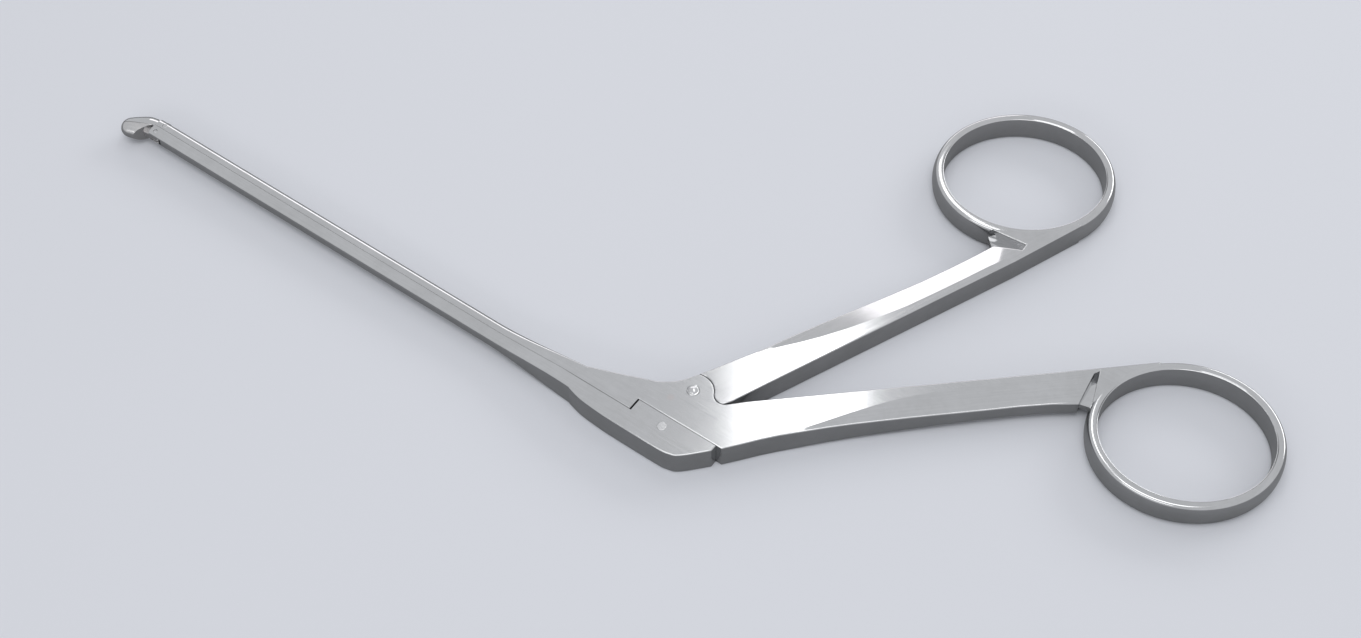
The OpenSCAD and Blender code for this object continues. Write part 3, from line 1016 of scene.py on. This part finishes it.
    def shaft(self) -> Shell:
        """Rounded bar from the body to the fork: a loft of rounded rectangles that grow into the body's section.

        Returns:
            The closed shell.
        """
        p = self.plan
        half, x_end = p.shaft_w / 2, -p.body_front - p.flare_len
        t = np.concatenate([[-2.0, -1.0], np.linspace(0, 1, 25)])
        t01 = np.clip(t, 0, 1)
        s = t01 * t01 * (3 - 2 * t01)
        jaw_end = -p.shaft_len - 1.4
        x = np.where(t < -1.5, jaw_end, np.where(t < -0.5, x_end - 12, x_end + (p.flare_len + 0.6) * t01))
        w_up = half + 0.15 * t01 + 0.41 * t01**3
        w_low = half + 0.2 * t01 + 0.27 * t01**3
        h = (p.shaft_h + (p.body_t - 0.02 - p.shaft_h) * s) / 2
        r = p.shaft_r + (self.edge - p.shaft_r) * s
        turn = np.radians(np.linspace(0, 90, 9))
        corners = ((0, 1, 1), (90, -1, 1), (180, -1, -1), (270, 1, -1))
        columns = []
        for start, side_y, side_z in corners:
            a = turn + math.radians(start)
            width = w_up if side_y > 0 else w_low
            y = p.seam_y + side_y * (width - r)[:, None] + r[:, None] * np.cos(a)
            z = p.mid + side_z * (h - r)[:, None] + r[:, None] * np.sin(a)
            columns.append(np.stack([np.broadcast_to(x[:, None], y.shape), y, z], -1))
        return Shell().add_tube(np.concatenate(columns, 1))

    def ring(self, centre: Array, turn: float) -> Shell:
        """Finger ring: a section with a flat rim, a rounded outer corner and a swollen hole wall, carried round the oval.

        Args:
            centre: Centre of the ring.
            turn: Direction of its long width.

        Returns:
            The closed shell.
        """
        p = self.plan
        bow = np.radians(np.linspace(90, 0, 9))
        outer = np.stack([0.85 + (p.ring_w - 0.85) * np.cos(bow), p.mid + p.mid * np.sin(bow)], -1)
        rise = np.linspace(0, 1, 6)
        wall = np.stack([-p.ring_swell + 0.2 * rise**2.2, p.mid + (p.mid - 0.16) * rise], -1)
        lip = np.stack([0.05 + 0.13 * np.sin(bow[::-1]), p.body_t - 0.16 + 0.16 * (1 - np.cos(bow[::-1]))], -1)[2:-1:2]
        rim = np.array([[0.22, p.body_t]])
        half = np.vstack([wall, lip, rim, outer])
        lower = half[-2:0:-1] * [1, -1] + [0, p.body_t]
        section = np.vstack([half, lower])
        angles = np.linspace(0, 360, 144, endpoint=False)[:, None]
        xy = ring_oval(p, centre, turn, angles, section[:, 0])
        grid = np.concatenate([xy, np.broadcast_to(section[:, 1], xy.shape[:2])[..., None]], -1)
        shell = Shell()
        shell.add_grid(grid, close_rows=True)
        return shell

    def slider_zone(self, gap: float, step_gap: float, rear: float) -> Array:
        """Outline of everything below the slide faces, moved down by a gap, with the step ahead of the pivot pin."""
        p = self.plan
        front = -p.shaft_len - 1.4 + gap
        step = -p.step_front + step_gap
        return np.array(
            [[front, -30], [rear, -30], [rear, p.slide_y - gap], [step, p.slide_y - gap], [step, p.seam_y - gap], [front, p.seam_y - gap]]
        )

    def rail(self, x0: float, x1: float, gap: float) -> list[Shell]:
        """Neck and head of the T-shaped rail, or of its groove with a gap all round."""
        p = self.plan
        neck, head = 0.25 + gap, 0.55 + gap
        return [
            slab(box_outline(x0, p.seam_y - 0.4, x1, p.seam_y + 0.5), p.mid - neck, p.mid + neck),
            slab(box_outline(x0, p.seam_y + 0.4 - gap, x1, p.seam_y + 0.8 + gap), p.mid - head, p.mid + head),
        ]

    def cup_tube(self, knots: list[tuple[float, float, float]]) -> Shell:
        """Flattened round body with ball ends: circles across a smooth path, of the radius between its knots.

        Args:
            knots: Place and radius of each knot, from the root to the tip.

        Returns:
            The closed shell.
        """
        p = self.plan
        path = smooth_curve(np.array(knots), 8)
        centre, radius = path[:, :2], path[:, 2]
        ahead = unit(np.gradient(centre, axis=0))
        ball = np.radians(np.linspace(4, 86, 9))
        front = np.stack([np.sin(ball), np.cos(ball)], -1)
        back = front[::-1]
        place = np.vstack(
            [centre[0] - ahead[0] * radius[0] * np.cos(ball)[:, None], centre, centre[-1] + ahead[-1] * radius[-1] * np.cos(ball[::-1])[:, None]]
        )
        size = np.concatenate([radius[0] * front[:, 0], radius, radius[-1] * back[:, 0]])
        course = np.vstack([np.repeat(ahead[:1], 9, 0), ahead, np.repeat(ahead[-1:], 9, 0)])
        side = np.stack([-course[:, 1], course[:, 0]], -1)
        turn = np.linspace(0, 2 * np.pi, 40, endpoint=False)
        xy = place[:, None] + side[:, None] * (size[:, None] * np.cos(turn))[..., None]
        z = p.mid + p.cup_t / 2 / p.cup_r * size[:, None] * np.sin(turn)
        return Shell().add_tube(np.concatenate([xy, z[..., None]], -1))

    def hollow(self) -> Shell:
        """Inside of the closed cups."""
        p = self.plan
        r = p.cup_r - p.cup_wall
        upper = np.array([-p.shaft_len - 2.5, p.seam_y - 0.575])
        inner = p.tip + (upper - p.tip) * 0.55
        return self.cup_tube([(*inner, r), (*((inner + p.tip) / 2), r), (*(p.tip + [0.25, 0.15]), r)])

    def bite_block(self, above: bool, gap: float) -> Shell:
        """Block on one side of the line where the cups meet, a gap away from it."""
        p = self.plan
        forward = unit(p.bite_root - p.tip)
        side = np.array([-forward[1], forward[0]])
        near, far = (gap, 10.0) if above else (-10.0 - gap, -gap)
        corners = [p.tip + forward * u + side * v for u, v in ((-5, near), (15, near), (15, far), (-5, far))]
        return slab(np.array(corners), -1.0, p.body_t + 1)


def bore(centre: Array, radius: float, thickness: float, chamfer: float = 0.0) -> Shell:
    """Round tool for a bore, with a small countersink at both faces."""
    rows = [[0.01, -1.0], [radius + chamfer, -1.0], [radius + chamfer, 0.0], [radius, chamfer], [radius, thickness - chamfer],
            [radius + chamfer, thickness], [radius + chamfer, thickness + 1], [0.01, thickness + 1]]
    profile = np.array(rows if chamfer else [rows[0], [radius, -1.0], [radius, thickness + 1], rows[-1]])
    return turned(profile, centre)


# ---------------------------------------------------------------- the pieces


@dataclass
class FixedFrame:
    """Fixed jaw, upper half of the shaft, body, thumb shank and thumb ring: one forging."""

    plan: Plan
    blanks: Blanks
    seam_chamfer: float = 0.1

    def build(self) -> bpy.types.Object:
        """Joins the blanks and cuts the slide faces, the tang slot, the groove, the fork and the bores.

        Returns:
            The finished piece.
        """
        p, b = self.plan, self.blanks
        plate = b.body()
        jaw = carve("upper_cup", b.cup_tube([
            (-p.shaft_len - 0.2, p.seam_y + 0.55, 1.3),
            (-p.shaft_len - 1.2, p.seam_y + 0.3, 1.36),
            (-p.shaft_len - 2.6, p.seam_y - 0.2, p.cup_r),
            (-p.shaft_len - 3.9, p.seam_y - 1.15, p.cup_r + 0.02),
            (*p.tip, p.cup_r),
        ]), [(Action.KEEP, b.bite_block(True, 0.03))])
        bridge = np.vstack([
            along(p.thumb_angle, np.array([p.thumb_len - 1.2, p.thumb_len - 4]), p.thumb_in + np.array([0.35, 4.2])),
            ring_oval(p, p.thumb_ring, p.thumb_ring_turn, np.array([160, 144, 128, 112]), 0.75),
        ])
        c = self.seam_chamfer
        zone = b.slider_zone(0.0, 0.0, 40.0)
        levels = [(-1.0, -c), (0.0, -c), (c, 0.0), (p.body_t - c, 0.0), (p.body_t, -c), (p.body_t + 1, -c)]
        slot = p.tang_t / 2 + p.slot_gap
        tang = np.array([[-2.7, p.slide_y - 1], [3.1, p.slide_y - 1], [3.1, 4], [-6, 8], [-6, 1.2], [-3.4, -1.6]])
        root = p.root_t / 2 + p.slot_gap
        fork = box_outline(-p.shaft_len - 2.6, p.seam_y - 3, -p.shaft_len + 1.1, p.seam_y + p.jaw_pin_rise + 0.78 + p.slot_gap)
        steps = [
            (Action.JOIN, b.shaft()),
            (Action.JOIN, b.ring(p.thumb_ring, p.thumb_ring_turn)),
            (Action.JOIN, slab(bridge, p.mid - b.bridge_half, p.mid + b.bridge_half)),
            (Action.JOIN, jaw),
            (Action.CUT, prism(zone, levels)),
            (Action.CUT, slab(tang, p.mid - slot, p.mid + slot)),
            (Action.CUT, bore(np.zeros(2), p.pivot_r, p.body_t, 0.09)),
            *[(Action.CUT, s) for s in b.rail(-p.shaft_len + 6, -p.body_front - 4, p.slide_gap)],
            (Action.CUT, slab(fork, p.mid - root, p.mid + root)),
            (Action.CUT, bore(p.jaw_pin, p.jaw_pin_r, p.body_t)),
            (Action.CUT, b.hollow()),
        ]
        piece = carve("frame_forging", plate.shell(), steps)
        settle_edges(piece, 30, plate.creases())
        map_lay(piece, [
            Lay(0.0),
            Lay(p.thumb_angle, start=11.0),
            Lay(0.0, centre=tuple(p.thumb_ring), radius=p.ring_long / 2 + 1.9),
        ])
        return piece


@dataclass
class FingerHandle:
    """Tang, root with the stop lobe, finger shank and finger ring: one forging."""

    plan: Plan
    blanks: Blanks
    tang_r: float = 2.0
    tang_end_r: float = 1.5

    def build(self) -> bpy.types.Object:
        """Joins the blanks and cuts the bore and the drive pin's slot.

        Returns:
            The finished piece.
        """
        p, b = self.plan, self.blanks
        plate = b.handle()
        bridge = np.vstack([
            along(p.finger_angle, np.array([p.finger_len - 1.2, p.finger_len - 3.9]), p.finger_in - np.array([0.8, 3.9])),
            ring_oval(p, p.finger_ring, p.finger_ring_turn, np.array([240, 255, 270, 285]), 0.75),
        ])[::-1]
        half = p.tang_t / 2
        drive = np.array([0.0, -p.drive_drop])
        root = np.array([[-2, 0], [2, 0], [2.7, 1.25], [3.1, 4.6], [0.3, 4.6], [-1, 2.7]])
        swing = math.radians(p.jaw_open / 2)
        opening = math.atan(2 * p.jaw_lever * math.sin(swing) / p.drive_drop)
        slack = p.drive_drop / math.cos(opening) - p.drive_drop
        play = p.drive_r + p.pin_gap
        steps = [
            (Action.JOIN, b.ring(p.finger_ring, p.finger_ring_turn)),
            (Action.JOIN, slab(bridge, p.mid - b.bridge_half, p.mid + b.bridge_half)),
            (Action.JOIN, slab(link_plate(np.zeros(2), self.tang_r, drive, self.tang_end_r), p.mid - half, p.mid + half)),
            (Action.JOIN, slab(root, p.mid - half + 0.02, p.mid + half - 0.02)),
            (Action.CUT, bore(np.zeros(2), p.pivot_r + p.pin_gap, p.body_t)),
            (Action.CUT, slab(link_plate(drive, play, drive - [0, slack], play), -1.0, p.body_t + 1)),
        ]
        piece = carve("handle_forging", plate.shell(), steps)
        settle_edges(piece, 30, plate.creases())
        map_lay(piece, [
            Lay(p.finger_angle),
            Lay(0.0, centre=tuple(p.finger_ring), radius=p.ring_long / 2 + 1.9),
        ])
        return piece


@dataclass
class Slider:
    """Lower half of the shaft with the block that the drive pin pulls."""

    plan: Plan
    blanks: Blanks
    seam_chamfer: float = 0.1

    def build(self) -> bpy.types.Object:
        """Keeps the slider's side of the blanks, adds the rail and cuts the pocket, the fork and the bores.

        Returns:
            The finished piece.
        """
        p, b = self.plan, self.blanks
        c = self.seam_chamfer
        stroke = 2 * p.jaw_lever * math.sin(math.radians(p.jaw_open / 2))
        zone = b.slider_zone(p.slide_gap * 0.6, 2 * p.stop_gap, p.slider_rear)
        levels = [(-0.5, c + 0.5), (c, 0.0), (p.body_t - c, 0.0), (p.body_t + 0.5, c + 0.5)]
        pocket = box_outline(-2.3, -p.drive_drop - 1.8, 2.3, -p.drive_drop + 6.2)
        slot = p.tang_t / 2 + p.slot_gap
        root = p.root_t / 2 + p.slot_gap
        fork = box_outline(-p.shaft_len - 2.4, p.seam_y - p.shaft_w, -p.shaft_len + 1, p.seam_y + p.shaft_w)
        steps = [
            (Action.JOIN, b.shaft()),
            (Action.KEEP, prism(zone, levels)),
            *[(Action.JOIN, s) for s in b.rail(-p.shaft_len + 6 + p.slide_gap, -p.body_front - 4 - stroke - p.slide_gap, 0.0)],
            (Action.CUT, slab(pocket, p.mid - slot, p.mid + slot)),
            (Action.CUT, bore(np.array([0.0, -p.drive_drop]), p.drive_r, p.body_t, 0.03)),
            (Action.CUT, slab(fork, p.mid - root, p.mid + root)),
            (Action.CUT, bore(p.link_pin, p.link_pin_r, p.body_t)),
        ]
        piece = carve("slider_bar", b.body().shell(), steps)
        settle_edges(piece, 30)
        map_lay(piece, [Lay(0.0)])
        return piece


@dataclass
class LowerJaw:
    """Moving cup with the root that turns on the jaw pin."""

    plan: Plan
    blanks: Blanks

    def build(self) -> bpy.types.Object:
        """Keeps the lower side of the cups, joins the root and cuts its bores and the hollow.

        Returns:
            The finished piece.
        """
        p, b = self.plan, self.blanks
        back = np.array([-p.shaft_len - 1.7, p.seam_y - 0.35])
        ahead, side = arc(np.zeros(2), 1, 240, 240, 1)[0], arc(np.zeros(2), 1, 330, 330, 1)[0]
        keep = np.array([back - ahead * 10 - side * 20, back + ahead * 20 - side * 20, back + ahead * 20, back - ahead * 10])
        cup = b.cup_tube([
            (-p.shaft_len - 2.0, p.seam_y - 0.85, p.cup_r),
            (-p.shaft_len - 3.3, p.seam_y - 1.4, p.cup_r + 0.02),
            (*p.tip, p.cup_r),
        ])
        pin, link = p.jaw_pin, p.link_pin
        web = np.array([
            pin + [0, 0.2], pin + [-1.2, -0.1], [pin[0] - 2.2, p.seam_y - 0.7], [pin[0] - 2.4, p.seam_y - 1.7], link + [0.1, -0.5],
        ])
        half = p.root_t / 2
        swing = math.radians(p.jaw_open / 2)
        slack = p.jaw_lever * (1 - math.cos(swing)) * np.array([math.sin(swing), math.cos(swing)])
        play = p.link_pin_r + p.pin_gap
        steps = [
            (Action.KEEP, b.bite_block(False, 0.03)),
            (Action.KEEP, slab(keep, -1.0, p.body_t + 1)),
            (Action.JOIN, slab(link_plate(pin, 0.74, link, 0.56), p.mid - half, p.mid + half)),
            (Action.JOIN, slab(web, p.mid - half, p.mid + half)),
            (Action.CUT, bore(pin, p.jaw_pin_r + p.pin_gap, p.body_t)),
            (Action.CUT, slab(link_plate(link, play, link + slack, play), -1.0, p.body_t + 1)),
            (Action.CUT, b.hollow()),
        ]
        piece = carve("moving_cup", cup, steps)
        settle_edges(piece, 32)
        map_lay(piece, [Lay(20.0)])
        return piece


@dataclass
class Pins:
    """The four turned pins."""

    plan: Plan

    def pivot(self) -> bpy.types.Object:
        """Pivot pin: a ground rim, a fine turned groove and a low domed head."""
        p = self.plan
        r, t = p.pivot_r, p.body_t
        dome = np.linspace(1, 0.02, 9)
        head = np.stack([0.58 * dome, t + p.dome_h * (1 - dome**2 * 0.72)], -1)
        edge = [[0.02, 0.0], [r - 0.1, 0.0], [r - 0.01, 0.09], [r - 0.01, t - 0.09], [r - 0.08, t - 0.01], [0.66, t], [0.62, t - 0.05]]
        return self._turn("pivot_pin_turned", np.vstack([np.array(edge), head]), np.zeros(2))

    def drive(self) -> bpy.types.Object:
        """Drive pin, peened and ground flush."""
        p = self.plan
        return self._turn("drive_pin_turned", self._plain(p.drive_r - 0.005, 0.0, p.body_t - 0.005), np.array([0.0, -p.drive_drop]))

    def jaw(self) -> bpy.types.Object:
        """Jaw pin across the fork."""
        p = self.plan
        low, high = p.mid - p.shaft_h / 2 + 0.02, p.mid + p.shaft_h / 2 - 0.02
        return self._turn("jaw_pin_turned", self._plain(p.jaw_pin_r - 0.005, low, high), p.jaw_pin)

    def link(self) -> bpy.types.Object:
        """Link pin in the slider's fork."""
        p = self.plan
        low, high = p.mid - p.shaft_h / 2 + 0.12, p.mid + p.shaft_h / 2 - 0.12
        return self._turn("link_pin_turned", self._plain(p.link_pin_r - 0.005, low, high), p.link_pin)

    def _plain(self, r: float, low: float, high: float) -> Array:
        """Profile of a plain pin with rounded ends."""
        turn = np.radians(np.linspace(0, 90, 4))
        c = 0.05
        lower = np.stack([r - c + c * np.sin(turn), low + c * (1 - np.cos(turn))], -1)
        upper = lower[::-1] * [1, -1] + [0, low + high]
        flat = r - c - 0.02
        return np.vstack([[[0.02, low], [flat, low]], lower, upper, [[flat, high], [0.02, high]]])

    def _turn(self, name: str, profile: Array, centre: Array) -> bpy.types.Object:
        """Turns a profile into a finished pin."""
        piece = turned(profile, centre).to_object(name)
        settle_edges(piece, 40)
        map_lay(piece, [Lay(0.0)])
        return piece


# ---------------------------------------------------------------- the studio


@dataclass(frozen=True)
class SoftLight:
    """Rectangular soft light that looks at a point: place and aim in metres, size in metres, brightness of its face."""

    name: str
    place: tuple[float, float, float]
    aim: tuple[float, float, float]
    size: tuple[float, float]
    brightness: float
    colour: tuple[float, float, float] = (1.0, 1.0, 1.0)
    up: tuple[float, float, float] = (0.0, 0.0, 1.0)

    def add(self) -> None:
        """Adds the light; its power is brightness * pi * area, so that the face shows that brightness."""
        data = bpy.data.lights.new(self.name, "AREA")
        data.shape = "RECTANGLE"
        data.size, data.size_y = self.size
        data.energy = self.brightness * math.pi * self.size[0] * self.size[1]
        data.color = self.colour
        light = bpy.data.objects.new(self.name, data)
        back = (Vector(self.place) - Vector(self.aim)).normalized()
        across = Vector(self.up).cross(back).normalized()
        rise = back.cross(across)
        light.rotation_mode = "QUATERNION"
        light.rotation_quaternion = Matrix((across, rise, back)).transposed().to_quaternion()
        light.location = self.place
        bpy.context.scene.collection.objects.link(light)


@dataclass
class Studio:
    """Camera at the photograph's viewing angle, plain pale floor and plain soft light."""

    target: tuple[float, float, float] = (-8.478, 8.768, 4.0)
    to_camera: tuple[float, float, float] = (0.3533, -0.4872, 0.7986)
    distance: float = 294.0
    focal_px: float = 2120.0
    floor_tone: tuple[float, float, float] = (0.705, 0.72, 0.765)
    floor_shade: tuple[float, float, float] = (0.30, 0.305, 0.315)
    sky_tone: tuple[float, float, float] = (0.74, 0.75, 0.77)

    def camera(self) -> None:
        """Adds the camera: straight down the line from it to the target, upright."""
        data = bpy.data.cameras.new("photo_camera")
        data.sensor_fit = "HORIZONTAL"
        data.sensor_width = 36.0
        data.lens = self.focal_px / CAPTION_SIZE[0] * data.sensor_width
        data.clip_start = 0.01
        camera = bpy.data.objects.new("photo_camera", data)
        view = Vector(self.to_camera).normalized()
        camera.location = (Vector(self.target) + view * self.distance) * METRES
        camera.rotation_mode = "QUATERNION"
        camera.rotation_quaternion = view.to_track_quat("Z", "Y")
        bpy.context.scene.collection.objects.link(camera)
        bpy.context.scene.camera = camera

    def floor(self) -> None:
        """Adds the floor: a plain pale cloth-covered table, as a disc of rings with a very faint unevenness."""
        radii = np.array([0.02, 120.0, 400.0, 1500.0])
        turn = np.linspace(0, 2 * np.pi, 64, endpoint=False)
        xy = radii[:, None, None] * np.stack([np.cos(turn), np.sin(turn)], -1)[None]
        grid = np.concatenate([xy, np.full((*xy.shape[:2], 1), -0.02)], -1)
        under = grid[::-1] * [1, 1, 1] + [0, 0, -2.0]
        floor = Shell().add_tube(np.concatenate([grid, under])).to_object("floor")
        material = bpy.data.materials.new("pale_floor")
        material.use_nodes = True
        bench = NodeBench(material.node_tree)
        shader = material.node_tree.nodes["Principled BSDF"]
        shader.inputs["Roughness"].default_value = 0.9
        shader.inputs["Specular IOR Level"].default_value = 0.2
        place = bench.add("ShaderNodeTexCoord")
        cloud = bench.noise(place.outputs["Object"], 9.0, 2.0, 0.5)
        tone = bench.add("ShaderNodeMix", data_type="RGBA")
        bench.join(cloud, tone.inputs["Factor"])
        tone.inputs["A"].default_value = (*[c * 0.985 for c in self.floor_tone], 1)
        tone.inputs["B"].default_value = (*[c * 1.01 for c in self.floor_tone], 1)
        path = bench.add("ShaderNodeLightPath")
        seen = bench.add("ShaderNodeMix", data_type="RGBA")
        bench.join(path.outputs["Is Camera Ray"], seen.inputs["Factor"])
        seen.inputs["A"].default_value = (*self.floor_shade, 1)
        bench.join(tone.outputs["Result"], seen.inputs["B"])
        bench.join(seen.outputs["Result"], shader.inputs["Base Color"])
        floor.data.materials.append(material)

    def sky(self) -> None:
        """Sets the surrounding light, and the pale backdrop that camera and metal see."""
        world = bpy.data.worlds.new("soft_room")
        bpy.context.scene.world = world
        world.use_nodes = True
        bench = NodeBench(world.node_tree)
        back = world.node_tree.nodes["Background"]
        back.inputs["Color"].default_value = (*self.sky_tone, 1)
        back.inputs["Strength"].default_value = 0.75
        seen = bench.add("ShaderNodeBackground")
        seen.inputs["Color"].default_value = (*self.sky_tone, 1)
        seen.inputs["Strength"].default_value = 1.0
        path = bench.add("ShaderNodeLightPath")
        either = bench.maths("MAXIMUM", path.outputs["Is Camera Ray"], path.outputs["Is Glossy Ray"])
        mix = bench.add("ShaderNodeMixShader")
        bench.join(either, mix.inputs[0])
        bench.join(back.outputs[0], mix.inputs[1])
        bench.join(seen.outputs[0], mix.inputs[2])
        bench.join(mix.outputs[0], world.node_tree.nodes["World Output"].inputs["Surface"])

    def lights(self) -> None:
        """Adds the soft lights: window patch, overhead, low back and low front."""
        window_up = (0.574, -0.819, 0.0)
        for light in (
            SoftLight("window_patch", (-0.0967, 0.1928, 0.300), (-0.0967, 0.1928, 0.0), (0.038, 0.22), 2.6, up=window_up),
            SoftLight("overhead", (0.03, -0.10, 0.55), (0, 0, 0), (0.44, 0.30), 1.8),
            SoftLight("low_back", (0.14, 0.62, 0.26), (0, 0, 0), (0.5, 0.20), 3.2),
            SoftLight("low_left", (-0.44, 0.62, 0.33), (0, 0, 0.0), (0.34, 0.24), 1.4, colour=(1.0, 0.955, 0.975)),
            SoftLight("low_front", (0.05, -0.60, 0.32), (0, 0, 0), (0.6, 0.14), 1.5),
        ):
            light.add()

    def build(self) -> None:
        """Sets up the camera, the floor, the lights and the plain view transform."""
        self.camera()
        self.floor()
        self.sky()
        self.lights()
        bpy.context.scene.view_settings.view_transform = "Standard"


def main() -> None:
    """Builds the forceps, dresses each piece and sets up the studio."""
    plan = Plan()
    blanks = Blanks(plan)
    Studio().build()
    effects = SteelEffects()
    frame_steel = SteelFinish("frame_steel", tint_and_light_spots=(
        TintAndLightSpot((-1.8, -2.7, 4.0), 0.7, (0.62, 0.55, 0.54), 0.35),
    )).material(effects)
    handle_steel = SteelFinish("handle_steel", tone=(0.61, 0.61, 0.62), tint_and_light_spots=(
        # Painted highlight: a near-white spot on the handle's top face, where the window light's reflection falls.
        TintAndLightSpot((3.2, 6.3, 4.0), 0.35, (0.95, 0.95, 0.95), 0.8),
        # Painted shade: two near-black spots at mid-height in the gap between the two shanks.
        TintAndLightSpot((9.6, 9.1, 2.2), 0.22, (0.05, 0.04, 0.04), 0.9),
        TintAndLightSpot((9.0, 7.8, 2.2), 0.22, (0.05, 0.04, 0.04), 0.9),
    )).material(effects)
    slider_steel = SteelFinish("slider_steel").material(effects)
    jaw_steel = SteelFinish("jaw_steel", tone=(0.66, 0.64, 0.64), roughness=0.2).material(effects)
    pin_steel = SteelFinish("pin_steel", tone=(0.68, 0.68, 0.69), roughness=0.14, line_across=60.0).material(effects)
    dress(FixedFrame(plan, blanks).build(), frame_steel, "frame", "frame_steel", "fixed_frame")
    dress(FingerHandle(plan, blanks).build(), handle_steel, "handle", "handle_steel", "finger_handle")
    dress(Slider(plan, blanks).build(), slider_steel, "slide", "slider_steel", "slider")
    dress(LowerJaw(plan, blanks).build(), jaw_steel, "jaw", "jaw_steel", "lower_jaw")
    pins = Pins(plan)
    dress(pins.pivot(), pin_steel, "frame", "pin_steel", "pivot_pin")
    dress(pins.drive(), pin_steel, "slide", "pin_steel", "drive_pin")
    dress(pins.jaw(), pin_steel, "frame", "pin_steel", "jaw_pin")
    dress(pins.link(), pin_steel, "slide", "pin_steel", "link_pin")


if __name__ == "__main__":
    main()
